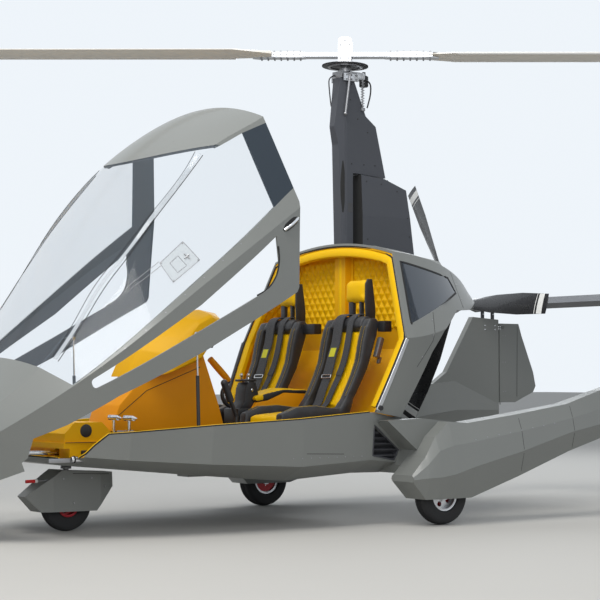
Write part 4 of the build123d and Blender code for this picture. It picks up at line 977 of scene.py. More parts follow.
def build_wheels(settings):
    """Grooved tyres, rim flanges, brake discs and bolts of the three wheels."""
    axis = (0, 1, 0)
    wheels = [
        (
            f"main_{name}",
            MAIN_TYRE,
            (0.0, side * BOOM_Y, MAIN_TYRE[0]),
            f"main_wheel_{name}",
            f"main_tyre_{name}",
            side,
        )
        for name, side in SIDES
    ]
    wheels.append(("nose", NOSE_TYRE, (NOSE_AXLE_X, 0.0, NOSE_TYRE[0]), "nose_wheel", "nose_tyre", 1))
    for name, (radius, rim, width), centre, body, node_name, side in wheels:
        bm = lathe(tyre_profile(radius, rim, width, settings), centre, axis, settings.steps)
        tyre = add_piece(f"tyre_tread_{name}", bm, "tyre_rubber", body, smooth=28.0)
        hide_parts(node_name)
        half = width / 2
        rim_finish = "rim_red" if name == "nose" else "rim_alloy"
        bm = bmesh.new()
        for face in (-1, 1):
            edge = half * 0.36
            ring = [
                (rim - 9, face * edge),
                (rim - 1, face * edge),
                (rim - 0.5, face * (edge + 6)),
                (rim + 5, face * (half * 0.72)),
            ]
            ring += [
                (rim + 2, face * (half * 0.76)),
                (rim - 5, face * (half * 0.70)),
                (rim - 9, face * (edge + 8)),
            ]
            lathe(ring, centre, axis, 64, bm)
        add_piece(f"rim_flange_{name}", bm, rim_finish, body, "rim_silver")
        brake_y = centre[1] - side * (half * 0.42)
        bm = lathe(
            [(rim * 0.50, -2.0), (rim * 0.86, -2.0), (rim * 0.86, 2.0), (rim * 0.50, 2.0)],
            (centre[0], brake_y, centre[2]),
            axis,
            48,
        )
        hat = [(rim * 0.30, -8.0), (rim * 0.52, -8.0), (rim * 0.52, 3.0), (rim * 0.30, 3.0)]
        lathe(hat, (centre[0], brake_y, centre[2]), axis, 48, bm)
        disc_finish = "dull_steel" if name == "nose" else "rim_red"
        add_piece(f"brake_disc_{name}", bm, disc_finish, body, "rim_red")
        rows = []
        for n in range(6):
            turn = 2 * math.pi * (n + 0.5) / 6
            spot = (centre[0] + rim * 0.40 * math.cos(turn), centre[2] + rim * 0.40 * math.sin(turn))
            for face in (-1, 1):
                rows.append(
                    (
                        mm(spot[0], centre[1] + face * (half * 0.42 if face != side else 9.5), spot[1]),
                        (0, face, 0),
                    )
                )
        scatter(f"wheel_bolts_{name}", rows, 4.5, 6.0, "bright_steel", body)
    rows = []
    for _, side in SIDES:
        for face in (-1, 1):
            rows.append((mm(0, side * BOOM_Y + face * 44, MAIN_TYRE[0]), (0, face, 0)))
    scatter("axle_nuts", rows, 19.0, 10.0, "dull_steel")


# Seats
def padded(name, bm, finish, body, slot, settings, cap=None):
    """Swell a closed shape into a pad by a short cloth simulation, each point held within a cap."""
    mesh = bpy.data.meshes.new(name)
    bmesh.ops.recalc_face_normals(bm, faces=bm.faces)
    bm.to_mesh(mesh)
    bm.free()
    made = bpy.data.objects.new(name, mesh)
    bpy.context.scene.collection.objects.link(made)
    remesh = made.modifiers.new("remesh", "REMESH")
    remesh.mode = "VOXEL"
    remesh.voxel_size = settings.voxel
    ready = made.evaluated_get(bpy.context.evaluated_depsgraph_get())
    made.data = bpy.data.meshes.new_from_object(ready)
    made.modifiers.clear()
    rest = [v.co.copy() for v in made.data.vertices]
    cloth = made.modifiers.new("cloth", "CLOTH")
    cloth.settings.use_pressure = True
    cloth.settings.uniform_pressure_force = settings.pressure
    cloth.settings.effector_weights.gravity = 0.0
    cloth.settings.quality = 4
    cloth.settings.tension_stiffness = 12.0
    cloth.settings.compression_stiffness = 12.0
    cloth.point_cache.frame_start = 1
    cloth.point_cache.frame_end = settings.frames
    for frame in range(1, settings.frames + 1):
        bpy.context.scene.frame_set(frame)
    ready = made.evaluated_get(bpy.context.evaluated_depsgraph_get())
    blown = [v.co.copy() for v in ready.data.vertices]
    made.modifiers.clear()
    bpy.context.scene.frame_set(1)
    most = cap or settings.cap
    for vert, start, end in zip(made.data.vertices, rest, blown):
        move = end - start
        vert.co = start + (move * (most / move.length) if move.length > most else move)
    soften = made.modifiers.new("soften", "SMOOTH")
    soften.iterations = 6
    divide = made.modifiers.new("divide", "SUBSURF")
    divide.levels = 1
    ready = made.evaluated_get(bpy.context.evaluated_depsgraph_get())
    made.data = bpy.data.meshes.new_from_object(ready)
    made.modifiers.clear()
    made.data.name = name
    made.data.shade_smooth()
    made.data.materials.append(finish_of(finish))
    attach(made, body)
    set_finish(made, slot)
    return made


def quilted(piece, pitch, depth, facing, up):
    """Sink diamond seam lines into the face of a pad that looks along one direction."""
    facing = Vector(facing).normalized()
    up = Vector(up).normalized()
    side = facing.cross(up)
    shares = [max(0.0, v.normal.dot(facing) - 0.5) * 2 for v in piece.data.vertices]
    for vert, share in zip(piece.data.vertices, shares):
        a = vert.co.dot(side) / (pitch * MM)
        b = vert.co.dot(up) / (pitch * 1.5 * MM)
        p = abs((a + b) % 1.0 - 0.5) * 2
        q = abs((a - b) % 1.0 - 0.5) * 2
        near = max(p, q)
        vert.co -= facing * depth * share * max(0.0, (near - 0.70) / 0.30) ** 2
    piece.data.update()


# Side outlines of the seat's parts, as (x, z)
BOLSTER = (
    (930.0, 560.0),
    (915.0, 655.0),
    (800.0, 700.0),
    (665.0, 708.0),
    (560.0, 696.0),
    (492.0, 690.0),
    (440.0, 742.0),
    (400.0, 818.0),
    (362.0, 895.0),
    (332.0, 972.0),
    (312.0, 1087.0),
    (290.0, 1170.0),
    (256.0, 1228.0),
    (212.0, 1234.0),
    (184.0, 1210.0),
    (200.0, 1126.0),
    (240.0, 1006.0),
    (268.0, 931.0),
    (307.0, 857.0),
    (372.0, 746.0),
    (405.0, 640.0),
    (425.0, 430.0),
    (900.0, 430.0),
)
PAD_FRONT = (
    (1160.0, 258.0),
    (1087.0, 272.0),
    (972.0, 298.0),
    (895.0, 328.0),
    (818.0, 366.0),
    (742.0, 408.0),
    (672.0, 450.0),
)
BACK_PAD = tuple((x, z) for z, x in PAD_FRONT) + tuple((x - 44.0, z) for z, x in reversed(PAD_FRONT))
BASE_PAD = ((905.0, 632.0), (700.0, 650.0), (478.0, 640.0), (470.0, 590.0), (905.0, 580.0))
TOP_ROLL = (
    (288.0, 1172.0),
    (268.0, 1216.0),
    (240.0, 1238.0),
    (206.0, 1238.0),
    (184.0, 1212.0),
    (192.0, 1150.0),
    (240.0, 1142.0),
)
SEAT_CORE = (
    (246.0, 1190.0),
    (244.0, 1087.0),
    (272.0, 972.0),
    (302.0, 895.0),
    (342.0, 818.0),
    (386.0, 742.0),
    (430.0, 680.0),
    (470.0, 600.0),
    (905.0, 600.0),
    (915.0, 300.0),
    (440.0, 300.0),
    (405.0, 640.0),
    (372.0, 746.0),
    (307.0, 857.0),
    (268.0, 931.0),
    (240.0, 1006.0),
    (200.0, 1126.0),
    (190.0, 1190.0),
)
# Name, finish, outline and near and far y from the seat's middle
SEAT_PADS = (
    ("back_pad", "yellow_leather", BACK_PAD, -142.0, 142.0),
    ("base_pad", "yellow_leather", BASE_PAD, -142.0, 142.0),
    ("bolster_inner", "black_leather", BOLSTER, -218.0, -154.0),
    ("bolster_outer", "black_leather", BOLSTER, 154.0, 218.0),
    ("top_roll", "black_leather", TOP_ROLL, -150.0, 150.0),
)
HEADREST_PAD = (
    (200.0, 1326.0), (212.0, 1348.0), (210.0, 1440.0), (184.0, 1465.0), (154.0, 1462.0), (148.0, 1326.0)
)
HEADREST_SIDE = (
    (200.0, 1440.0),
    (184.0, 1468.0),
    (152.0, 1468.0),
    (128.0, 1300.0),
    (128.0, 1215.0),
    (196.0, 1215.0),
    (202.0, 1330.0),
)
ARMREST_PAD = (
    (765.0, 742.0),
    (660.0, 772.0),
    (545.0, 797.0),
    (352.0, 785.0),
    (352.0, 766.0),
    (545.0, 774.0),
    (666.0, 726.0),
    (752.0, 716.0),
)
ARMREST_STAND = (
    (745.0, 716.0), (660.0, 728.0), (542.0, 774.0), (356.0, 766.0), (362.0, 560.0), (850.0, 560.0)
)
SEAT_FACING = Vector((0.94, 0.0, 0.34))


def build_seats(settings):
    """Padded seats, headrests and the armrest between them."""
    upward = (-0.34, 0.0, 0.94)
    pads = []
    for label, finish, outline, y_in, y_out in SEAT_PADS:
        bm = prism(outline, SEAT_Y + y_in, SEAT_Y + y_out, 6.0)
        slot = "yellow_trim" if finish == "yellow_leather" else "black_fabric"
        pad = padded(
            f"{label}_port", bm, finish, "root", slot, settings, 0.007 if "bolster" in label else None
        )
        if label == "back_pad":
            quilted(pad, settings.quilt_pitch, settings.quilt_depth, SEAT_FACING, upward)
        if label == "base_pad":
            quilted(pad, settings.quilt_pitch, settings.quilt_depth, (0, 0, 1), (1, 0, 0))
        pads.append(pad)
    for pad in list(pads):
        twin = mirrored(pad, pad.name.replace("_port", "_starboard"), "root")
    for name, side in SIDES:
        middle = side * SEAT_Y
        shell = add_piece(
            f"seat_core_{name}", prism(SEAT_CORE, middle - 156, middle + 156, 8.0), "black_plastic"
        )
        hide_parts(f"seat_{name}")
        bm = bmesh.new()
        block((172.0, middle - 74.0, 1215.0), (198.0, middle - 30.0, 1345.0), 6.0, bm)
        block((172.0, middle + 30.0, 1215.0), (198.0, middle + 52.0, 1345.0), 6.0, bm)
        posts = add_piece(f"headrest_posts_{name}", bm, "black_leather")
        if side > 0:
            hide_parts("headrests")
        bm = bmesh.new()
        prism(HEADREST_SIDE, middle + 90, middle + 106, 5.0, bm)
        add_piece(f"headrest_sides_{name}", bm, "black_leather", slot="black_fabric")
    bm = prism(HEADREST_PAD, SEAT_Y - 88, SEAT_Y + 88, 12.0)
    pad = padded("headrest_pad_port", bm, "yellow_leather", "root", "yellow_trim", settings, 0.008)
    mirrored(pad, "headrest_pad_starboard", "root")
    bm = prism(ARMREST_PAD, -92.0, 92.0, 5.0)
    pad = padded("armrest_pad", bm, "yellow_leather", "root", "yellow_trim", settings, 0.006)
    pad.data.materials.append(finish_of("black_leather"))
    for face in pad.data.polygons:
        sideways = abs(face.normal.y) > 0.6 and face.center.x < 0.70
        face.material_index = 1 if sideways or face.normal.z < -0.5 else 0
    # The armrest's stand takes the painted-shade copy of the yellow moulding
    stand = add_piece("armrest_stand", prism(ARMREST_STAND, -86.0, 86.0, 6.0), "orange_moulding")
    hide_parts("armrest")
    stitch_seats(settings)


def seam_stitches(path, pitch):
    """Rows of (point, direction) for stitches along a path of points in metres."""
    rows = []
    left = 0.0
    for a, b in zip(path, path[1:]):
        span = (b - a).length
        while left < span:
            rows.append((a.lerp(b, left / span), (b - a).normalized()))
            left += pitch * MM
        left -= span
    return rows


def stitch_seats(settings):
    """Yellow thread along the fronts of the bolsters."""
    front = [(z, x) for x, z in BOLSTER[6:13]]
    for name, side in SIDES:
        tree = tree_of(f"bolster_inner_{name}", f"bolster_outer_{name}")
        rows = []
        for off in (-203.0, -168.0, 168.0, 203.0):
            starts = [
                mm(between(front, 760 + n * 14.0) + 120, side * SEAT_Y + off, 800 + n * 14.0)
                for n in range(31)
            ]
            hits = [cast(tree, start, -SEAT_FACING, 0.0008) for start in starts]
            rows += seam_stitches([hit[0] for hit in hits if hit], settings.stitch_pitch)
            starts = [mm(560 + n * 30.0, side * SEAT_Y + off, 900) for n in range(11)]
            hits = [cast(tree, start, (0, 0, -1), 0.0008) for start in starts]
            rows += seam_stitches([hit[0] for hit in hits if hit], settings.stitch_pitch)
        scatter(f"seat_stitches_{name}", rows, 1.3, 5.5, "thread")


# Belts from the seat's top to the lap: x, y off the seat's middle, z
SHOULDER_BROAD = (
    (196.0, -52.0, 1246.0),
    (240.0, -50.0, 1248.0),
    (284.0, -50.0, 1215.0),
    (312.0, -49.0, 1084.0),
    (340.0, -48.0, 1008.0),
    (378.0, -46.0, 894.0),
    (424.0, -44.0, 790.0),
    (470.0, -40.0, 700.0),
    (540.0, -26.0, 668.0),
    (600.0, -12.0, 668.0),
)
SHOULDER_SLIM = (
    (196.0, 62.0, 1246.0),
    (236.0, 60.0, 1246.0),
    (278.0, 58.0, 1205.0),
    (300.0, 58.0, 1100.0),
    (322.0, 58.0, 1007.0),
    (352.0, 54.0, 917.0),
    (412.0, 46.0, 800.0),
    (466.0, 36.0, 700.0),
    (540.0, 24.0, 668.0),
    (600.0, 12.0, 668.0),
)
LAP_INNER = ((440.0, -146.0, 690.0), (500.0, -120.0, 676.0), (560.0, -70.0, 670.0), (606.0, -22.0, 672.0))
LAP_OUTER = ((440.0, 146.0, 690.0), (500.0, 120.0, 676.0), (560.0, 70.0, 670.0), (606.0, 22.0, 672.0))


def build_belts():
    """Shoulder and lap straps with adjusters, tags and buckles."""
    for name, side in SIDES:
        middle = side * SEAT_Y
        straps = bmesh.new()
        metal = bmesh.new()
        tags = bmesh.new()
        for points, wide in (
            (SHOULDER_BROAD, 88.0), (SHOULDER_SLIM, 58.0), (LAP_INNER, 50.0), (LAP_OUTER, 50.0)
        ):
            path = smooth_path([mm(x, middle + y, z) for x, y, z in points], 6)
            outs = [SEAT_FACING if p.z > 0.70 and p.x > 0.25 else Vector((0.2, 0.0, 0.98)) for p in path]
            for _ in range(3):
                outs = [outs[0]] + [(a + b + c) / 3 for a, b, c in zip(outs, outs[1:], outs[2:])] + [outs[-1]]
            shoulder = points in (SHOULDER_BROAD, SHOULDER_SLIM)
            low = next((n for n, p in enumerate(path) if shoulder and n > 12 and p.z < 0.885), len(path))
            sweep(
                path[: low + 1] if shoulder else path,
                flat_outline(wide, 6.0 if shoulder else 2.2),
                outs=outs[: low + 1] if shoulder else outs,
                bm=straps,
            )
            if not shoulder:
                continue
            narrow = [p - o * 0.002 for p, o in zip(path[low - 2 :], outs[low - 2 :])]
            sweep(narrow, flat_outline(wide * 0.92, 3.0), outs=outs[low - 2 :], bm=straps)
            if points == SHOULDER_BROAD:
                ahead = (path[low] - path[low - 1]).normalized()
                across = ahead.cross(outs[low]).normalized() * (wide * 0.5 * MM)
                bars = [path[low] + outs[low] * 0.007 + ahead * reach for reach in (-0.006, 0.014)]
                for spot in bars:
                    tube([spot - across, spot + across], 2.4, metal, 8)
                for edge in (-1, 1):
                    tube([bars[0] + across * edge, bars[1] + across * edge], 2.4, metal, 8)
                part = [n for n, p in enumerate(path) if 0.985 < p.z < 1.055]
                sweep(
                    [path[n] + outs[n] * 0.0062 for n in part],
                    flat_outline(54.0, 1.4),
                    outs=[outs[n] for n in part],
                    bm=tags,
                )
        add_piece(f"belts_{name}", straps, "webbing")
        add_piece(f"belt_adjusters_{name}", metal, "bright_steel")
        add_piece(f"belt_tags_{name}", tags, "tag_yellow")
        centre = (616.0, middle, 664.0)
        bm = lathe(
            [(0.0, 0.0), (30.0, 0.0), (32.0, 6.0), (30.0, 14.0), (20.0, 19.0), (0.0, 20.0)],
            centre,
            (0.2, 0, 0.98),
            36,
            close=False,
        )
        lathe(
            [(0.0, 19.0), (13.0, 19.0), (12.0, 23.0), (0.0, 24.0)],
            centre,
            (0.2, 0, 0.98),
            24,
            bm,
            close=False,
        )
        add_piece(f"belt_buckle_{name}", bm, "dull_steel")


# Rear cabin
def quilt_height(a, b):
    """Height of a pointed diamond at (a, b) in diamonds, from 0 on its seams to 1 at its middle."""
    p = abs((a + b) % 1.0 - 0.5) * 2
    q = abs((a - b) % 1.0 - 0.5) * 2
    return (1.0 - max(p, q)) ** 0.75


def quilt_panel(name, starts, direction, tree, settings, body="root"):
    """Quilted leather on a surface met by a grid of rays; starts is rows of (point, across mm, up mm)."""
    rows = []
    count_up = len(starts)
    for j, row in enumerate(starts):
        line = []
        for i, (spot, across, up) in enumerate(row):
            hit = cast(tree, spot, direction)
            if hit is None:
                raise RuntimeError(f"{name}: a ray misses the wall")
            place, normal = hit
            edge = min(i, len(row) - 1 - i, j, count_up - 1 - j)
            rise = 3.0 + settings.depth * quilt_height(across / settings.across, up / settings.up)
            line.append(place + normal * MM * (0.6 if edge == 0 else rise * min(1.0, edge / 3.0)))
        rows.append(line)
    return add_piece(name, grid_sheet(rows), "yellow_leather", body, smooth=70.0)


def build_quilts(settings):
    """Diamond-quilted leather on the rear cabin's walls."""
    wall = tree_of("rear_bulkhead")
    liner = tree_of("cabin_liner")
    step = settings.step
    for name, side in SIDES:
        rows = []
        for j in range(int(455 / step) + 1):
            z = 1165 + j * step
            reach = between(((1165.0, 690.0), (1400.0, 640.0), (1560.0, 560.0), (1620.0, 500.0)), z)
            count = 110
            rows.append(
                [
                    (mm(300, side * (62 + (reach - 62) * i / count), z), 62 + (reach - 62) * i / count, z)
                    for i in range(count + 1)
                ]
            )
        quilt_panel(f"quilt_rear_{name}", rows, (-1, 0, 0), wall, settings)
        rows = []
        for j in range(int(400 / step) + 1):
            z = 1165 + j * step
            front = between(((1165.0, 165.0), (1622.0, 80.0)), z) - 26
            count = 36
            rows.append(
                [
                    (mm(front - (front + 12) * i / count, 0, z), front - (front + 12) * i / count, z)
                    for i in range(count + 1)
                ]
            )
        quilt_panel(f"quilt_side_{name}", rows, (0, side, 0), liner, settings)


def rim_path(tree, inset):
    """Points and outward directions round the rim of the cowl, from the port foot over the crown."""
    hits = []
    line = [(z, x) for x, z in RIM_LINE]
    for n in range(30):
        z = 690 + n * 31.0
        x = between(line, z) - inset
        hits.append(cast(tree, mm(x, 0, z), (0, 1, 0)))
    for n in range(1, 24):
        y = 560 - n * 48.0
        x = between(line, 1690.0) - inset
        hits.append(cast(tree, mm(x, y, 1450), (0, 0, 1)))
    mirror = [(Vector((p.x, -p.y, p.z)), Vector((n.x, -n.y, n.z))) for p, n in reversed(hits[:30])]
    return hits + mirror


# Boxes by the seats: low corner, high corner and ease
CABIN_BOXES = (
    ((175.0, -150.0, 1140.0), (235.0, -20.0, 1205.0), 8.0),
    ((140.0, 575.0, 1142.0), (200.0, 640.0, 1208.0), 8.0),
    ((140.0, -640.0, 1142.0), (200.0, -575.0, 1208.0), 8.0),
)


def build_cabin_trim():
    """Padded rim, seal, flange, column pad, boxes and handset."""
    liner = tree_of("cabin_liner", "cowl_shell")
    hits = rim_path(liner, 16.0)
    ahead = Vector((0.96, 0.0, 0.28))
    middle = []
    for place, normal in hits:
        inward = (normal - ahead * normal.dot(ahead)).normalized()
        middle.append(place + inward * 0.028)
    band = [(-0.029, -0.02), (-0.029, 0.006), (-0.020, 0.012), (0.020, 0.012), (0.029, 0.004), (0.029, -0.02)]
    bm = sweep(middle, band, outs=[ahead] * len(middle))
    add_piece("rim_pad", bm, "yellow_leather", smooth=50.0)
    front = [place - normal * 0.004 + ahead * 0.012 for place, normal in hits]
    bm = sweep(front, round_outline(5.0, 10))
    add_piece("rim_seal", bm, "rubber_seal")
    # Flange of bare alloy along the lower rim and the bolt at its foot
    bm = bmesh.new()
    spots = []
    for _, side in SIDES:
        path = []
        outs = []
        for n in range(15):
            z = 676 + n * 30.0
            x = between([(z0, x0) for x0, z0 in RIM_LINE], z)
            hit = cast(liner, mm(x - 8, side * 1200, z), (0, -side, 0))
            path.append(hit[0])
            outs.append(hit[1])
        sweep(path, flat_outline(26.0, 3.0), outs=outs, bm=bm)
        low = cast(liner, mm(372, side * 1200, 690), (0, -side, 0))
        spots.append((low[0], low[1]))
    add_piece("rim_flange", bm, "bare_alloy")
    scatter("rim_bolts", spots, 16.0, 14.0, "black_plastic", sides=16)
    # Smooth column between the quilted panels: a rounded pad over the bulkhead's column
    bm = bmesh.new()
    rows = []
    wall = tree_of("rear_bulkhead")
    for n in range(24):
        z = 1120 + n * 23.0
        hit = cast(wall, mm(300, 0, z), (-1, 0, 0))
        if hit and hit[0].x > 0.03:
            x = hit[0].x / MM
            rows.append(
                [mm(x - 62 + 66 * math.sin(math.pi * k / 16) ** 0.7, -60 + 7.5 * k, z) for k in range(17)]
            )
    grid_sheet(rows, bm)
    add_piece("column_pad", bm, "yellow_leather", smooth=60.0)
    # Boxes and handset by the seats
    add_piece("cabin_boxes", blocks(CABIN_BOXES), "black_plastic")
    turn = Matrix.Rotation(math.radians(-18.0), 3, "Y")
    bm = block((205.0, 594.0, 985.0), (235.0, 630.0, 1110.0), 7.0, turn=turn)
    block((208.0, 600.0, 950.0), (226.0, 622.0, 990.0), 4.0, bm, turn)
    add_piece("cabin_handset", bm, "dull_steel")


def sill_path(side, step, drop=0.0, inset=0.0):
    return [
        mm(p.x / MM, side * (tub_half(p.x / MM, p.z / MM) - inset), p.z / MM + drop)
        for p in divided([mm(x, 0, z) for x, z in SILL_LINE], step * MM)
    ]


# Screws under the grille line of the tub, as (x, z)
TUB_SCREWS = tuple((470.0 + n * 62.0, 408.0) for n in range(9))


def build_sill():
    """Seal and piping along the sill, and lines and screws on the flanks."""
    for label, inset, drop, finish in (
        ("sill_seal", 5.0, 2.0, "rubber_seal"),
        ("sill_piping", 13.0, 4.0, "yellow_leather"),
    ):
        # Open over the canopy's hinge brackets, which lie there when it is shut
        port = [p for p in sill_path(1, 40.0, drop, inset) if p.x < SILL_GAP_X * MM]
        across = [mm(2238 - inset, y, 427 + drop) for y in range(340, -341, -40)]
        far = [Vector((p.x, -p.y, p.z)) for p in reversed(port)]
        bm = bmesh.new()
        for run in (port, across, far):
            sweep(run, round_outline(SILL_RADIUS, 8), bm=bm)
        add_piece(label, bm, finish)
    # Panel line along the tub's side and the screws under it
    tree = tree_of("tub_shell")
    bm = bmesh.new()
    for _, side in SIDES:
        starts = [mm(605 + n * 30.0, side * 1200, 425 + n * 0.9) for n in range(10)]
        strip_on(bm, tree, starts, (0, -side, 0), 3.0, 0.6)
    add_piece("tub_panel_lines", bm, "rubber_seal")
    scatter("tub_screws", studs(tree, TUB_SCREWS), 4.0, 1.6, "dull_steel", sides=12)


# Hood of the instruments: half width of each section and its outline as (x, z)
HOOD_SECTIONS = (
    (
        250.0,
        (
            (1125.0, 1150.0),
            (1132.0, 1196.0),
            (1210.0, 1222.0),
            (1355.0, 1176.0),
            (1490.0, 1075.0),
            (1596.0, 985.0),
            (1622.0, 905.0),
            (1320.0, 985.0),
        ),
    ),
    (
        225.0,
        (
            (1100.0, 1160.0),
            (1108.0, 1216.0),
            (1195.0, 1240.0),
            (1342.0, 1196.0),
            (1486.0, 1092.0),
            (1600.0, 1000.0),
            (1648.0, 882.0),
            (1300.0, 965.0),
        ),
    ),
    (
        95.0,
        (
            (1040.0, 1200.0),
            (1052.0, 1250.0),
            (1172.0, 1270.0),
            (1308.0, 1232.0),
            (1478.0, 1112.0),
            (1582.0, 1030.0),
            (1660.0, 870.0),
            (1250.0, 960.0),
        ),
    ),
)
SKIRT = (
    (1181.0, 1022.0),
    (1062.0, 702.0),
    (1020.0, 562.0),
    (1792.0, 562.0),
    (1740.0, 709.0),
    (1590.0, 862.0),
    (1500.0, 960.0),
)
SKIRT_HALF = 150.0
HOOD_ROUND = 190.0
HOOD_FLAT = 95.0
# Screens stand on the rear face of the hood, between two heights
SCREEN_LOW = (1118.0, 1028.0)
SCREEN_HIGH = (1062.0, 1176.0)


def narrowed(outline, half):
    """Outline drawn back where the hood's front rounds off towards its sides."""
    back = HOOD_ROUND * max(0.0, half - HOOD_FLAT) / (HOOD_SECTIONS[0][0] - HOOD_FLAT)
    rear = min(x for x, _ in outline)
    front = max(x for x, _ in outline)
    return [(x - back * (x - rear) / (front - rear), z) for x, z in outline]


def build_hood():
    """Hood over the instruments, its skirt, seams and displays."""
    sections = [(-half, narrowed(outline, half)) for half, outline in HOOD_SECTIONS]
    sections += [(half, narrowed(outline, half)) for half, outline in reversed(HOOD_SECTIONS)]
    bm = bmesh.new()
    rings = [[bm.verts.new(mm(x, y, z)) for x, z in outline] for y, outline in sections]
    count = len(rings[0])
    for low, high in zip(rings, rings[1:]):
        for k in range(count):
            bm.faces.new((low[k], low[(k + 1) % count], high[(k + 1) % count], high[k]))
    bm.faces.new(rings[0])
    bm.faces.new(list(reversed(rings[-1])))
    bmesh.ops.recalc_face_normals(bm, faces=bm.faces)
    bmesh.ops.bevel(bm, geom=list(bm.edges), offset=0.009, segments=2, affect="EDGES", profile=0.6)
    hood = add_piece("pod_hood", bm, "yellow_moulding", smooth=25.0)
    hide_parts("instrument_pod")
    # The skirt under the hood takes the painted-shade copy of the yellow moulding
    skirt = add_piece("pod_skirt", prism(SKIRT, -SKIRT_HALF, SKIRT_HALF, 7.0), "orange_moulding")
    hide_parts("pod_pedestal")
    bm = bmesh.new()
    for side in (-1, 1):
        for line in (((1560.0, 792.0), (1195.0, 929.0)), ((1760.0, 640.0), (1560.0, 792.0))):
            path = [mm(x, side * (SKIRT_HALF + 0.2), z) for x, z in line]
            sweep(
                divided(path, 0.03),
                flat_outline(4.0, 0.8),
                outs=[Vector((0, side, 0))] * len(divided(path, 0.03)),
                bm=bm,
            )
    add_piece("pod_seams", bm, "rubber_seal")
    low = Vector((SCREEN_LOW[0], 0.0, SCREEN_LOW[1]))
    high = Vector((SCREEN_HIGH[0], 0.0, SCREEN_HIGH[1]))
    lean = Matrix.Rotation(math.atan2(high.x - low.x, high.z - low.z), 3, "Y")
    middle = (low + high) / 2
    bezels = bmesh.new()
    screens = bmesh.new()
    keys = []
    facing = lean @ Vector((-1.0, 0.0, 0.0))
    for y in (-78.0, 78.0):
        spot = middle + Vector((0.0, y, 0.0))
        half = Vector((9.0, 70.0, 62.0))
        block(spot - half, spot + half, 5.0, bezels, lean)
        half = Vector((10.5, 56.0, 46.0))
        block(spot - half, spot + half, 1.5, screens, lean)
        for n in range(6):
            for z in (-54.0, 54.0):
                place = spot + lean @ Vector((-10.0, -50.0 + n * 20.0, z))
                keys.append((place * MM, facing))
    add_piece("display_bezels", bezels, "black_plastic")
    add_piece("display_screens", screens, "screen_black")
    scatter("display_keys", keys, 4.5, 5.0, "dull_steel", sides=12)


FOOTBOX_SEAM = ((2205.0, 377.0), (1898.0, 377.0), (1898.0, -377.0), (2205.0, -377.0))
FOOTBOX_SEAM_Z = 512.0
# Side outline of the lever quadrant
QUADRANT = (
    (850.0, 676.0),
    (815.0, 722.0),
    (806.0, 800.0),
    (790.0, 838.0),
    (732.0, 838.0),
    (716.0, 790.0),
    (704.0, 720.0),
    (676.0, 676.0),
)


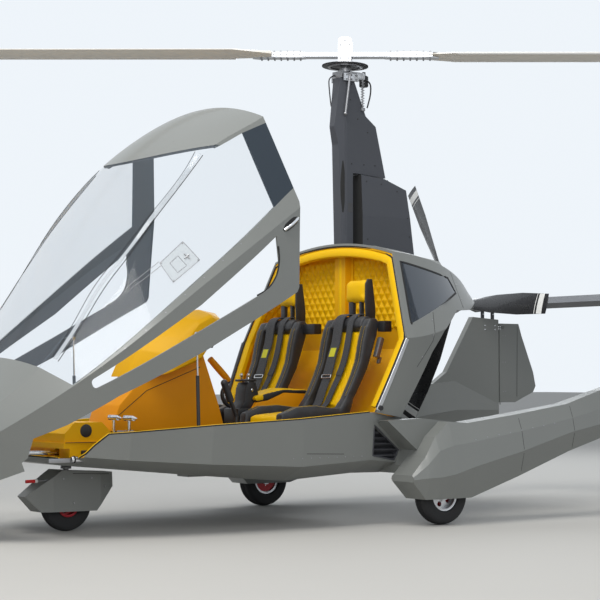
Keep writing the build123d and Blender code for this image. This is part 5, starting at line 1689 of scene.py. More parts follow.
def build_cockpit():
    """Foot box details, rail rollers, pedals, lever and quadrant."""
    # Dark seam of the foot box, and black discs and blocks standing for its cut-outs: painted shade of their
    # hollows
    bm = bmesh.new()
    path = divided([mm(x, y, FOOTBOX_SEAM_Z) for x, y in FOOTBOX_SEAM], 0.05)
    sweep(path, flat_outline(7.0, 3.0), outs=[Vector((0, 0, 1.0))] * len(path), bm=bm)
    add_piece("footbox_seam", bm, "rubber_seal")
    bm = bmesh.new()
    for _, side in SIDES:
        lathe(
            [(0.0, 0.0), (36.0, 0.0), (36.0, 4.0), (30.0, 6.0), (0.0, 6.0)],
            (2072.0, side * 360.0, 576.0),
            (0, side, 0),
            32,
            bm,
            close=False,
        )
        block((2040.0, side * 378.0 - 14, 425.0), (2110.0, side * 378.0 + 14, 470.0), 5.0, bm)
    add_piece("footbox_cutouts", bm, "black_plastic")
    # Sliding rail of the canopy: bracket and roller on the tub, flat bar on the carriage
    bm = bmesh.new()
    ring = bmesh.new()
    bar = bmesh.new()
    for _, side in SIDES:
        y = side * 418.0
        lathe(
            [(0.0, 0.0), (16.0, 0.0), (17.0, 2.0), (17.0, 96.0), (16.0, 98.0), (0.0, 98.0)],
            (2094.0, y, 424.0),
            (1, 0, 0),
            28,
            bm,
            close=False,
        )
        lathe(
            [(17.0, 78.0), (20.5, 79.0), (20.5, 86.0), (17.0, 87.0)],
            (2094.0, y, 424.0),
            (1, 0, 0),
            28,
            ring,
        )
        block((2200.0, y - 4, 408.0), (2330.0, y + 4, 432.0), 2.0, bar)
        lathe(
            [(0.0, 0.0), (7.0, 0.0), (7.0, 14.0), (0.0, 14.0)],
            (2312.0, y - side * 4, 420.0),
            (0, -side, 0),
            16,
            bar,
            close=False,
        )
    add_piece("rail_rollers", bm, "bright_steel")
    add_piece("rail_rings", ring, "rubber_seal")
    add_piece("rail_bars", bar, "dull_steel")
    # Treads on the pedals
    pedal_low, pedal_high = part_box("pedals")
    bm = bmesh.new()
    for side in (-1, 1):
        for off in (-85.0, 85.0):
            y = side * SEAT_Y + off
            x = pedal_low[0] / MM + 11
            z = pedal_high[2] / MM - 11
            block(
                (x - 22, y - 50, z - 5),
                (x + 12, y + 50, z + 13),
                4.0,
                bm,
                Matrix.Rotation(math.radians(-25.0), 3, "Y"),
            )
            block((x - 34, y - 15, z - 120), (x - 8, y + 15, z - 96), 4.0, bm)
            tube([mm(x, y, z - 110), mm(x - 60, y, z - 150)], 8.0, bm)
    add_piece("pedal_treads", bm, "bright_steel")
    bm = bmesh.new()
    for side in (-1, 1):
        middle = side * SEAT_Y
        tube([mm(1800, middle - 120, 560), mm(1800, middle + 120, 560)], 11.0, bm)
        block((1780.0, middle - 20, 480.0), (1825.0, middle + 20, 575.0), 6.0, bm)
    add_piece("pedal_crossbars", bm, "dull_steel")
    # Brake lever with its curved foot, and the quadrant on the console
    bm = tube(smooth_path([mm(880, 0, 690), mm(925, 0, 720), mm(940, 0, 780), mm(893, 0, 848)], 6), 12.0)
    add_piece("lever_foot", bm, "black_plastic")
    grip = [mm(893, 0, 848), mm(912, 0, 866), mm(960, 0, 912), mm(1012, 0, 962), mm(1030, 0, 980)]
    path = smooth_path(grip, 4)
    scales = [
        0.75 + 0.25 * math.sin(math.pi * n / (len(path) - 1)) + (0.12 if n > len(path) * 0.8 else 0.0)
        for n in range(len(path))
    ]
    # The lever's grip takes the painted-shade copy of the yellow moulding
    add_piece("lever_grip", sweep(path, round_outline(21.0, 16), scales=scales), "orange_moulding")
    bm = prism(QUADRANT, -56.0, 56.0, 9.0)
    block((720.0, -46.0, 842.0), (818.0, 46.0, 856.0), 5.0, bm)
    block((640.0, -80.0, 556.0), (880.0, 80.0, 682.0), 14.0, bm)
    add_piece("quadrant", bm, "black_plastic")
    bm = bmesh.new()
    for y, lean in ((-26.0, 12.0), (26.0, -4.0)):
        tube([mm(770, y, 836), mm(770 + lean, y, 868)], 4.0, bm)
        knob = [(0.0, -10.0), (8.0, -10.0), (11.0, -3.0), (11.0, 5.0), (6.0, 11.0), (0.0, 12.0)]
        lathe(knob, (770 + lean, y, 880), (0, 0, 1), 18, bm, close=False)
    for side in (-1, 1):
        lathe(
            [(0.0, 0.0), (9.0, 0.0), (9.0, 6.0), (6.0, 9.0), (0.0, 9.0)],
            (762.0, side * 55.0, 790.0),
            (0, side, 0),
            20,
            bm,
            close=False,
        )
    add_piece("quadrant_knobs", bm, "bright_steel")
    rows = [
        (mm(x, side * 131, z), (0, side, 0))
        for side in (-1, 1)
        for x in (620, 900, 1180, 1460, 1640)
        for z in (420, 530)
    ]
    scatter("console_screws", rows, 4.0, 2.0, "dull_steel", sides=12)
    bm = block((1250.0, -95.0, 552.0), (1520.0, 95.0, 561.0), 3.0)
    block((930.0, -110.0, 552.0), (1170.0, 110.0, 562.0), 3.0, bm)
    add_piece("console_plates", bm, "black_plastic")


# Filler of the side opening's rear lower corner: its curve and the frame's corner, as shut (x, z)
GUSSET_CURVE = (
    (486.0, 935.0), (508.0, 865.0), (552.0, 800.0), (604.0, 762.0), (662.0, 741.0), (730.0, 737.0)
)
GUSSET_OUTER = ((700.0, 730.0), (610.0, 748.0), (532.0, 762.0), (500.0, 860.0))


# Overlapped seam of the windscreen: height off its line and width of the clear strip and its dark edges
SEAM_ROWS = ((0.0, 24.0), (-15.0, 4.0), (13.0, 2.4))
# Handle in the rear corner of a side frame, as shut (x, z), and the bar's lift in metres
RECESS_LINE = ((408.0, 1000.0), (380.0, 1006.0), (340.0, 1014.0), (300.0, 1022.0), (276.0, 1027.0))
HANDLE_LINE = (
    (402.0, 1001.0, 0.002),
    (385.0, 1005.0, 0.012),
    (340.0, 1014.0, 0.019),
    (298.0, 1023.0, 0.012),
    (282.0, 1026.0, 0.003),
)
# Vent window of the port side glass, as shut (x, z): plate, lines on and behind it, catch
VENT_PLATE = ((1165.0, 1114.0), (990.0, 1170.0), (972.0, 1050.0), (1172.0, 1000.0))
VENT_MIDDLE = (1075.0, 1083.0)
VENT_LINES = (
    ((1120.0, 1095.0), (1060.0, 1113.0), (1052.0, 1052.0), (1118.0, 1036.0), (1120.0, 1095.0)),
    ((1384.0, 1064.0), (1165.0, 1122.0)),
    ((1376.0, 1048.0), (1168.0, 1100.0)),
)
VENT_CATCH = (((1040.0, 1086.0), (1006.0, 1095.0)), ((1026.0, 1110.0), (1016.0, 1074.0)))
VENT_LIFT = 0.003
CATCH_LIFT = 0.008
# Lines of the side frame as shut (x, z), and the clip's (x, y) under the roof
BELT_RAIL = ((470.0, 1102.0), (1838.0, 744.0))
REAR_POST = ((440.0, 668.0), (330.0, 880.0), (218.0, 1106.0))
ROOF_CLIP = (545.0, 300.0)


# Canopy
def build_canopy_trim():
    """Seam strips, handles, vent window, gussets, clip, screws and seals."""
    screen = tree_of("windscreen", "side_glass_port", "side_glass_starboard")
    frame = tree_of("side_frame_port", "side_frame_starboard")
    clear = bmesh.new()
    dark = bmesh.new()
    for _, side in SIDES:
        spots = smooth_path([mm(x, 0, z) for x, z in SEAM_LINE], 8)
        for row in range(len(SEAM_ROWS)):
            path = []
            outs = []
            for p in spots:
                hit = shut_hit(screen, p.x / MM, p.z / MM + SEAM_ROWS[row][0], side)
                path.append(hit[0])
                outs.append(hit[1])
            for _ in range(12):
                path = path[:1] + [(a + b + c) / 3 for a, b, c in zip(path, path[1:], path[2:])] + path[-1:]
                outs = outs[:1] + [(a + b + c) / 3 for a, b, c in zip(outs, outs[1:], outs[2:])] + outs[-1:]
            sweep(
                path,
                flat_outline(SEAM_ROWS[row][1], 3.0 if row else 2.0),
                outs=outs,
                bm=dark if row else clear,
            )
    add_piece("seam_strips", clear, "seam_clear", "canopy")
    add_piece("seam_edges", dark, "rubber_seal", "canopy")
    # Handle at the rear corner of each side frame, over a dark strip that is painted shade of its recess
    recess = bmesh.new()
    bar = bmesh.new()
    for _, side in SIDES:
        path = [opened(x, side * CANOPY_REACH, z) for x, z in RECESS_LINE]
        scales = [0.35, 0.9, 1.0, 0.9, 0.35]
        strip_on(recess, frame, path, (0, -side, 0), 46.0, 1.2, scales=scales)
        hits = [shut_hit(frame, x, z, side) for x, z, _ in HANDLE_LINE]
        spots = [p + n * lift for (p, n), (_, _, lift) in zip(hits, HANDLE_LINE)]
        tube(smooth_path(spots, 4), 9.0, bar, 12)
    add_piece("handle_recesses", recess, "rubber_seal", "canopy")
    add_piece("handles", bar, "bright_steel", "canopy")
    # Vent window on the port side glass: plate, slide rail, catch and corner screws
    glass = tree_of("side_glass_port")
    rows = []
    for j in range(9):
        row = []
        for i in range(11):
            a = Vector(VENT_PLATE[0]).lerp(Vector(VENT_PLATE[1]), i / 10)
            b = Vector(VENT_PLATE[3]).lerp(Vector(VENT_PLATE[2]), i / 10)
            spot = a.lerp(b, j / 8)
            row.append(shut_hit(glass, spot.x, spot.y, 1, VENT_LIFT)[0])
        rows.append(row)
    bm = grid_sheet(rows)
    add_piece("vent_plate", bm, "vent_frosted", "canopy")
    bm = bmesh.new()
    for loop in (VENT_PLATE + VENT_PLATE[:1],) + VENT_LINES:
        spots = divided([mm(x, 0, z) for x, z in loop], 0.02)
        starts = [opened(p.x / MM, CANOPY_REACH, p.z / MM) for p in spots]
        strip_on(bm, glass, starts, (0, -1, 0), 3.0, 2.0, 3.0)
    add_piece("vent_edges", bm, "dull_steel", "canopy")
    bm = bmesh.new()
    for ends in VENT_CATCH:
        tube([shut_hit(glass, x, z, 1, CATCH_LIFT)[0] for x, z in ends], 3.5, bm, 10)
    add_piece("vent_catch", bm, "dull_steel", "canopy")
    rows = []
    for corner in VENT_PLATE:
        inner = Vector(corner).lerp(Vector(VENT_MIDDLE), 0.08)
        rows.append(shut_hit(glass, inner.x, inner.y, 1, VENT_LIFT))
    scatter("vent_screws", rows, 4.5, 4.0, "dull_steel", "canopy", sides=12)
    # Rounded filler in the rear lower corner of each opening, with its dark edge
    bm = bmesh.new()
    edge = bmesh.new()
    for _, side in SIDES:
        inner = [shut_hit(frame, x, z, side) for x, z in GUSSET_OUTER]
        if not all(inner):
            raise RuntimeError("gusset: a ray misses the side frame")
        across = sum((hit[0].y for hit in inner), 0.0) / len(inner)
        curve = smooth_path([opened(x, 0.0, z) for x, z in GUSSET_CURVE], 4)
        corner = [opened(x, 0.0, z) for x, z in GUSSET_OUTER]
        ring = [Vector((p.x, across - side * 0.001, p.z)) for p in curve + corner]
        low = [bm.verts.new(p) for p in ring]
        high = [bm.verts.new(p - Vector((0, side * 0.010, 0))) for p in ring]
        bm.faces.new(low)
        bm.faces.new(list(reversed(high)))
        for k in range(len(ring)):
            bm.faces.new((low[k], low[(k + 1) % len(ring)], high[(k + 1) % len(ring)], high[k]))
        sweep([Vector((p.x, across - side * 0.006, p.z)) for p in curve], round_outline(5.5, 8), bm=edge)
    add_piece("frame_gussets", bm, "satin_body", "canopy")
    add_piece("frame_gusset_seals", edge, "rubber_seal", "canopy")
    # Clip under the roof's front edge and the screws along the side frames
    roof = tree_of("roof_panel", "windscreen")
    low = opened(*ROOF_CLIP, 1000.0)
    hit = cast(roof, low, opened(*ROOF_CLIP, 2000.0) - low)
    bm = block((-16.0, -10.0, -6.0), (16.0, 10.0, 6.0), 3.0)
    for vert in bm.verts:
        vert.co = vert.co + hit[0]
    add_piece("roof_clip", bm, "black_plastic", "canopy")
    rows = []
    for _, side in SIDES:
        for n in range(9):
            x = 560 + n * 150.0
            z = between(BELT_RAIL, x)
            hit = shut_hit(frame, x, z, side)
            if hit:
                rows.append(hit)
    scatter("frame_screws", rows, 4.0, 1.4, "dull_steel", "canopy", sides=12)
    # Rubber edge along the opening's rear post
    bm = bmesh.new()
    for _, side in SIDES:
        path = []
        for x, z in REAR_POST:
            hit = shut_hit(frame, x + 6, z, side)
            if hit:
                path.append(hit[0] + Vector((0, -side * 0.012, 0)))
        if len(path) > 1:
            sweep(path, round_outline(5.0, 8), bm=bm)
    add_piece("frame_rear_seals", bm, "rubber_seal", "canopy")


# Windows, hull lines, mast and tail, with panel lines and screws as (x, z)
COWL_LINES = (((-89.0, 1263.0), (-32.0, 1086.0), (104.0, 929.0)), ((-460.0, 1560.0), (-470.0, 1300.0)))
COWL_SCREWS = (
    (-485.0, 1540.0),
    (-488.0, 1450.0),
    (-490.0, 1360.0),
    (-60.0, 1215.0),
    (-30.0, 1120.0),
    (60.0, 990.0),
)
# Seams round a boom: x, lowest and highest z
BOOM_SEAMS = ((-560.0, 300.0, 620.0), (-1010.0, 430.0, 690.0))
TAIL_CAP = ((-1895.0, 1392.0), (-1958.0, 1444.0), (-2324.0, 1407.0), (-2324.0, 1390.0), (-2010.0, 1356.0))
TAIL_HINGE_X = -2210.0


def build_hull_trim():
    """Window edges, panel lines, louvre rims, boom, rudder and tail details."""
    cowl = tree_of("cowl_shell", "rear_window_port", "rear_window_starboard")
    bm = bmesh.new()
    for _, side in SIDES:
        loop = divided([mm(x, 0, z) for x, z in REAR_WINDOW + REAR_WINDOW[:1]], 0.03)
        starts = [Vector((p.x, side * 1.2, p.z)) for p in loop[:-1]]
        strip_on(bm, cowl, starts, (0, -side, 0), 13.0, 1.6, closed=True)
    add_piece("window_edges", bm, "rubber_seal")
    bm = bmesh.new()
    for _, side in SIDES:
        for line in COWL_LINES:
            starts = [Vector((p.x, side * 1.2, p.z)) for p in divided([mm(x, 0, z) for x, z in line], 0.03)]
            strip_on(bm, cowl, starts, (0, -side, 0), 3.0, 0.7)
    add_piece("cowl_lines", bm, "rubber_seal")
    scatter("cowl_screws", studs(cowl, COWL_SCREWS), 5.0, 1.8, "dull_steel", sides=12)
    # Louvre rims, and the seams, screws and bolts of booms and rudders
    bm = bmesh.new()
    for _, side in SIDES:
        loop = divided([mm(x, 0, z) for x, z in GRILLE + GRILLE[:1]], 0.02)
        for p in loop:
            p.y = side * (tub_half(p.x / MM, p.z / MM) + 0.4) * MM
        sweep(
            loop[:-1],
            flat_outline(9.0, 2.0),
            closed=True,
            outs=[Vector((0, side, 0))] * (len(loop) - 1),
            bm=bm,
        )
    add_piece("louvre_rims", bm, "dark_inside")
    for name, side in SIDES:
        boom = tree_of(f"boom_{name}")
        bm = bmesh.new()
        for x, z0, z1 in BOOM_SEAMS:
            for face in (-1, 1):
                starts = [mm(x, side * BOOM_Y + face * 300, z0 + (z1 - z0) * n / 12) for n in range(13)]
                strip_on(bm, boom, starts, (0, -face, 0), 2.6, 0.6)
        add_piece(f"boom_seams_{name}", bm, "rubber_seal")
        rows = []
        for n in range(8):
            hit = cast(boom, mm(-180 - n * 95.0, side * (BOOM_Y + 300), 500 + n * 12.0), (0, -side, 0))
            rows.append((hit[0], hit[1]))
        scatter(f"boom_screws_{name}", rows, 4.0, 1.4, "dull_steel", sides=12)
        bm = bmesh.new()
        for face in (-1, 1):
            y = side * BOOM_Y + face * 18.6
            sweep(
                [mm(-2330, y, 720), mm(-2338, y, 1250)],
                flat_outline(3.0, 0.6),
                outs=[Vector((0, face, 0))] * 2,
                bm=bm,
            )
        add_piece(f"rudder_seams_{name}", bm, "rubber_seal", f"rudder_{name}")
        rows = []
        for z in (760.0, 980.0, 1180.0):
            for face in (-1, 1):
                rows.append((mm(-2190, side * BOOM_Y + face * 18, z), (0, face, 0)))
                rows.append((mm(-2214, side * BOOM_Y + face * 18, z), (0, face, 0)))
        scatter(f"rudder_rivets_{name}", rows, 4.0, 1.6, "dull_steel", f"rudder_{name}", sides=12)
        rows = []
        for x in (-2000.0, -2100.0):
            for z in (1225.0, 1255.0, 1340.0):
                for face in (-1, 1):
                    rows.append(
                        (
                            mm(x, side * BOOM_Y + face * 25, z) if z < 1300 else mm(
                                x, side * BOOM_Y + face * 5, z
                            ),
                            (0, face, 0),
                        )
                    )
        scatter(f"bracket_bolts_{name}", rows, 5.0, 4.0, "bright_steel")
    bm = bmesh.new()
    for side in (-1, 1):
        prism(TAIL_CAP, side * 1004.0, side * 1014.0, 2.0, bm)
    add_piece("tailplane_caps", bm, "satin_body")
    bm = bmesh.new()
    tail = tree_of("tailplane")
    for off in (-840, 0, 840):
        starts = [mm(TAIL_HINGE_X, off - 30 + n * 10.0, 1700) for n in range(7)]
        strip_on(bm, tail, starts, (0, 0, -1), 26.0, 2.0)
    starts = [mm(-2190, -990 + n * 60.0, 1700) for n in range(34)]
    strip_on(bm, tail, starts, (0, 0, -1), 4.0, 0.8)
    add_piece("tailplane_joints", bm, "dull_steel")


MAST_SCREWS = (
    (-10.0, 2230.0),
    (-110.0, 2230.0),
    (-200.0, 2230.0),
    (-140.0, 2440.0),
    (-60.0, 2520.0),
    (0.0, 2640.0),
    (-10.0, 2740.0),
    (30.0, 2740.0),
)
FAIRING_SCREWS = (
    (-110.0, 2120.0),
    (-230.0, 2110.0),
    (-360.0, 2070.0),
    (-440.0, 1900.0),
    (-455.0, 1780.0),
    (-110.0, 1750.0),
)


def build_mast_trim():
    """Painted shade of the recesses, with the bands, ridges and screws of the mast and its fairing."""
    mast = tree_of("mast_pylon")
    # Dark tapered strips on the mast's sides: painted shade of its recesses
    bm = bmesh.new()
    for side in (-1, 1):
        starts = [mm(54, side * 400, 1915 + n * 30.0) for n in range(12)]
        scales = [0.12 + 0.88 * math.sin(math.pi * min(1.0, (n + 0.6) / 12)) for n in range(12)]
        strip_on(bm, mast, starts, (0, -side, 0), 34.0, 0.8, scales=scales)
    add_piece("mast_recesses", bm, "rubber_seal")
    bm = bmesh.new()
    for side in (-1, 1):
        starts = [mm(20 - n * 4.0, side * 400, 1948) for n in range(10)]
        strip_on(bm, mast, starts, (0, -side, 0), 60.0, 1.2)
    add_piece("mast_bands", bm, "cast_engine")
    bm = bmesh.new()
    for side in (-1, 1):
        starts = [mm(40, side * 400, 1780 + n * 34.0) for n in range(26)]
        strip_on(bm, mast, starts, (0, -side, 0), 5.0, 2.0)
    add_piece("mast_ridges", bm, "satin_mast")
    scatter("mast_screws", studs(mast, MAST_SCREWS), 5.0, 2.0, "black_plastic", sides=12)
    scatter(
        "fairing_screws",
        studs(tree_of("intake_fairing"), FAIRING_SCREWS),
        5.0,
        2.0,
        "black_plastic",
        sides=12,
    )
    bm = bmesh.new()
    tube([mm(-335, 0, 2106), mm(-345, 0, 2150)], 4.0, bm)
    tube([mm(-428, 0, 2084), mm(-436, 0, 2112)], 4.0, bm)
    add_piece("fairing_fittings", bm, "black_plastic")


# Plates of the fixed gimbal: low corner, high corner and ease
GIMBAL_PLATES = (
    ((-52.0, -72.0, 2756.0), (60.0, -58.0, 2806.0), 4.0),
    ((-52.0, 58.0, 2756.0), (60.0, 72.0, 2806.0), 4.0),
    ((-128.0, -42.0, 2778.0), (-52.0, 42.0, 2826.0), 8.0),
)
# Ring gear: its teeth, the radius at which they stand and their height from the hub
GEAR_TEETH = 84
GEAR_RADIUS = 145.5
GEAR_LIFT = -68.0
# Strap of a blade root: outline as (along, half width), and the rows of bolts on it
STRAP = ((250.0, 30.0), (300.0, 44.0), (560.0, 44.0), (600.0, 24.0))
STRAP_BOLTS = tuple(290.0 + n * 42.0 for n in range(7))
# Coiled trim springs
SPRING_X = -96.0
SPRING_Y = 58.0
SPRING_RADIUS = 11.0
SPRING_WIRE = 2.2
SPRING_TURNS = 10


def build_rotor_head():
    """Ring gear, tower bolts, blade straps, gimbal, springs, and pale blade edges that are a painted
    highlight.
    """
    # Ring of teeth on the ring gear
    bm = bmesh.new()
    for n in range(GEAR_TEETH):
        turn = 2 * math.pi * n / GEAR_TEETH
        place = on_rotor(GEAR_RADIUS * math.cos(turn), GEAR_RADIUS * math.sin(turn), GEAR_LIFT)
        spin = Matrix.Rotation(-ROTOR_TILT, 3, "Y") @ Matrix.Rotation(ROTOR_AZIMUTH + turn, 3, "Z")
        low = Vector((-3.2, -2.4, -4.2))
        start = len(bm.verts)
        block(low, -low, 0.8, bm, None, 1)
        bm.verts.ensure_lookup_table()
        for vert in bm.verts[start:]:
            vert.co = spin @ vert.co + place
    add_piece("ring_gear_teeth", bm, "black_plastic", "rotor_shaft")
    bm = bmesh.new()
    lathe([(96.0, -78.5), (112.0, -78.5), (112.0, -57.5), (96.0, -57.5)], (0, 0, 0), (0, 0, 1), 48, bm)
    lathe([(24.0, -56.0), (44.0, -56.0), (44.0, -45.0), (24.0, -45.0)], (0, 0, 0), (0, 0, 1), 36, bm)
    spin = Matrix.Rotation(-ROTOR_TILT, 3, "Y") @ Matrix.Rotation(ROTOR_AZIMUTH, 3, "Z")
    for vert in bm.verts:
        vert.co = spin @ vert.co + mm(0, 0, ROTOR_HUB_Z)
    add_piece("ring_gear_hub", bm, "dull_steel", "rotor_shaft")
    axis_z = spin @ Vector((0, 0, 1))
    axis_y = spin @ Vector((0, 1, 0))
    rows = []
    for n in range(8):
        turn = 2 * math.pi * n / 8
        rows.append((on_rotor(70 * math.cos(turn), 70 * math.sin(turn), -63.0), axis_z))
    for face in (-1, 1):
        for x, z in ((-28.0, -25.0), (28.0, -25.0), (-28.0, 60.0), (28.0, 60.0), (0.0, 88.0)):
            rows.append((on_rotor(x, face * 60.0, z), axis_y * face))
    scatter("tower_bolts", rows, 6.5, 7.0, "dull_steel", "rotor_shaft")
    bm = bmesh.new()
    for face in (-1, 1):
        lathe(
            [(9.0, 0.0), (20.0, 0.0), (22.0, 3.0), (20.0, 6.0), (9.0, 6.0)],
            (0, face * 59.5, 0),
            (0, face, 0),
            32,
            bm,
        )
    for vert in bm.verts:
        vert.co = spin @ vert.co + mm(0, 0, ROTOR_HUB_Z)
    add_piece("teeter_washers", bm, "bright_steel", "rotor_shaft")
    # Blade roots: straps over and under the bar with their rows of bolts
    bm = bmesh.new()
    rows = []
    for turn in (0, 1):
        flip = -1 if turn else 1
        for z, face in ((13.5, 1), (-17.5, -1)):
            ring = STRAP + tuple((x, -y) for x, y in reversed(STRAP))
            top = [bm.verts.new(on_rotor(flip * x, y, z + 4)) for x, y in ring]
            low = [bm.verts.new(on_rotor(flip * x, y, z)) for x, y in ring]
            bm.faces.new(top)
            bm.faces.new(list(reversed(low)))
            for k in range(len(top)):
                bm.faces.new((low[k], low[(k + 1) % len(top)], top[(k + 1) % len(top)], top[k]))
            lift = z + (6 if face > 0 else -2)
            for x in STRAP_BOLTS:
                rows += [(on_rotor(flip * x, y, lift), axis_z * face) for y in (-24.0, 24.0)]
    add_piece("blade_straps", bm, "bare_alloy", "rotor")
    scatter("blade_bolts", rows, 6.5, 8.0, "dull_steel", "rotor")
    rows = []
    for flip in (-1, 1):
        for x in STRAP_BOLTS:
            rows += [(on_rotor(flip * x, face * 47.0, 0.0), axis_y * face) for face in (-1, 1)]
    scatter("bar_bolts", rows, 5.0, 5.0, "dull_steel", "rotor")
    # Gimbal, springs and spin-up drive on the fixed mount
    add_piece("gimbal_plates", blocks(GIMBAL_PLATES), "bare_alloy")
    bm = bmesh.new()
    lathe(
        [(0.0, 0.0), (26.0, 0.0), (30.0, 6.0), (30.0, 66.0), (24.0, 72.0), (0.0, 72.0)],
        (-150.0, 0.0, 2742.0),
        (0, 0, 1),
        28,
        bm,
        close=False,
    )
    lathe(
        [(0.0, 72.0), (12.0, 72.0), (12.0, 96.0), (0.0, 96.0)],
        (-150.0, 0.0, 2742.0),
        (0, 0, 1),
        20,
        bm,
        close=False,
    )
    add_piece("spinup_drive", bm, "black_plastic")
    bm = bmesh.new()
    for side in (-1, 1):
        coil = []
        for n in range(12 * SPRING_TURNS + 1):
            turn = 2 * math.pi * n / 12
            x = SPRING_X + SPRING_RADIUS * math.cos(turn)
            y = side * SPRING_Y + SPRING_RADIUS * math.sin(turn)
            coil.append(mm(x, y, 2600 + n * 1.4))
        sweep(coil, round_outline(SPRING_WIRE, 6), bm=bm)
        tube([mm(SPRING_X, side * SPRING_Y, 2590), mm(SPRING_X, side * SPRING_Y, 2786)], 4.0, bm, 10)
        block((-112.0, side * 52 - 6, 2574.0), (-82.0, side * 52 + 12, 2596.0), 3.0, bm)
    add_piece("trim_springs", bm, "dull_steel")
    bm = bmesh.new()
    tube(
        smooth_path([mm(-128, 30, 2790), mm(-170, 40, 2760), mm(-168, 46, 2690), mm(-140, 48, 2600)], 5),
        5.0,
        bm,
    )
    tube(
        smooth_path([mm(66, -30, 2800), mm(104, -34, 2770), mm(98, -38, 2690), mm(84, -40, 2600)], 5),
        4.0,
        bm,
    )
    add_piece("head_hoses", bm, "black_plastic")
    rows = []
    for side in (-1, 1):
        for x in (-34.0, 6.0, 42.0):
            for z in (2768.0, 2794.0):
                rows.append((mm(x, side * 73, z), (0, side, 0)))
    scatter("gimbal_bolts", rows, 6.0, 6.0, "dull_steel")
    # Pale strips along the blades' leading edges: a painted highlight standing for their lit tops
    for name, flip in (("fore", 1), ("aft", -1)):
        blade = tree_of(f"rotor_blade_{name}")
        bm = bmesh.new()
        path = []
        for n in range(60):
            r = 720 + n * 59.0
            place = on_rotor(flip * r, flip * -300.0, 0.5)
            hit = cast(blade, place, spin @ Vector((0, flip, 0)))
            if hit:
                path.append(hit[0])
        outs = [spin @ Vector((0, -flip, 0))] * len(path)
        sweep(
            path,
            [(-0.009, -0.007), (-0.005, 0.0), (0.0, 0.0018), (0.005, 0.0), (0.009, -0.007)],
            outs=outs,
            bm=bm,
        )
        add_piece(f"blade_lead_{name}", bm, "blade_edge", "rotor")


def on_prop(turn, r, across, along):
    """Place in metres by a propeller blade: mm up it, across it and along the shaft."""
    c = math.cos(math.radians(turn))
    s = math.sin(math.radians(turn))
    return mm(PROP_X + along, across * c - r * s, PROP_Z + across * s + r * c)


def build_propeller():
    """Tip bands, edge strips, bolts and collar of the propeller."""
    blades = tree_of("propeller_blades")
    white = bmesh.new()
    steel = bmesh.new()
    for n in range(PROP_BLADES):
        turn = PROP_ANGLE + n * 360.0 / PROP_BLADES
        for r, width in ((842.0, 46.0), (800.0, 5.0)):
            for face in (-1, 1):
                hits = [
                    cast(blades, on_prop(turn, r, -64 + k * 8.0, face * 120), (-face, 0, 0))
                    for k in range(17)
                ]
                hits = [hit for hit in hits if hit]
                if len(hits) > 1:
                    sweep(
                        [p for p, _ in hits],
                        flat_outline(width, 0.5, 0.1),
                        outs=[v for _, v in hits],
                        bm=white,
                    )
        path = []
        outs = []
        for k in range(24):
            r = 440 + k * 19.0
            hit = cast(
                blades,
                on_prop(turn, r, 140.0, 18.0),
                on_prop(turn, r, -100.0, -14.0) - on_prop(turn, r, 140.0, 18.0),
            )
            if hit:
                path.append(hit[0])
                outs.append(hit[1])
        if len(path) > 2:
            sweep(path, flat_outline(12.0, 1.0), outs=outs, bm=steel)
    add_piece("prop_tip_bands", white, "white_band", "propeller")
    add_piece("prop_edge_strips", steel, "bare_alloy", "propeller")
    rows = []
    for n in range(6):
        turn = 2 * math.pi * n / 6
        rows.append((mm(PROP_X - 46 + 10, 50 * math.cos(turn), PROP_Z + 50 * math.sin(turn)), (-1, 0, 0)))
    scatter("prop_bolts", rows, 6.0, 14.0, "bright_steel", "propeller")
    profile = [(62.5, -28.0), (64.0, -24.0), (64.0, 24.0), (62.5, 28.0)]
    bm = lathe(profile, (PROP_X, 0, PROP_Z), (1, 0, 0), 48)
    add_piece("prop_collar", bm, "dull_steel", "propeller")


SPAT_BOLTS = ((1992.0, 162.0), (1880.0, 300.0), (2060.0, 300.0), (1790.0, 250.0))
# Air-speed tube beside the spat: its y and its line as (x, z)
PROBE_Y = 50.0
PROBE_LINE = (
    (2005.0, 318.0), (2035.0, 300.0), (2080.0, 294.0), (2150.0, 292.0), (2215.0, 291.0), (2262.0, 290.0)
)


def build_nose_gear():
    """Air-speed tube, bolts, lines and collar of the nose gear."""
    spat = tree_of("nose_spat")
    bm = bmesh.new()
    red = bmesh.new()
    white = bmesh.new()
    y = PROBE_Y
    tube(smooth_path([mm(x, y, z) for x, z in PROBE_LINE], 4), 6.0, bm)
    block((1985.0, y - 7, 300.0), (2060.0, y + 7, 332.0), 3.0, bm)
    block((2120.0, y - 6, 270.0), (2150.0, y + 6, 300.0), 3.0, bm)
    add_piece("pitot_tube", bm, "dull_steel", "nose_steering")
    tube([mm(2222, y, 291), mm(2272, y, 290), mm(2276, y, 290)], 9.5, red)
    add_piece("pitot_cover", red, "red_cover", "nose_steering")
    tube([mm(2206, y, 291), mm(2222, y, 291)], 11.0, white)
    add_piece("pitot_ring", white, "white_band", "nose_steering")
    scatter("spat_bolts", studs(spat, SPAT_BOLTS), 6.0, 5.0, "dull_steel", "nose_steering")
    bm = bmesh.new()
    for side in (-1, 1):
        starts = [mm(1760 + n * 20.0, side * 300, 318 + 12 * n / 15) for n in range(13)]
        strip_on(bm, spat, starts, (0, -side, 0), 3.0, 0.6)
    add_piece("spat_lines", bm, "rubber_seal", "nose_steering")
    bm = bmesh.new()
    lathe(
        [(23.0, 0.0), (31.0, 0.0), (31.0, 10.0), (27.0, 16.0), (23.0, 16.0)],
        (NOSE_AXLE_X, 0, 362.0 - 10),
        (0, 0, 1),
        32,
        bm,
    )
    add_piece("leg_collar", bm, "dull_steel")


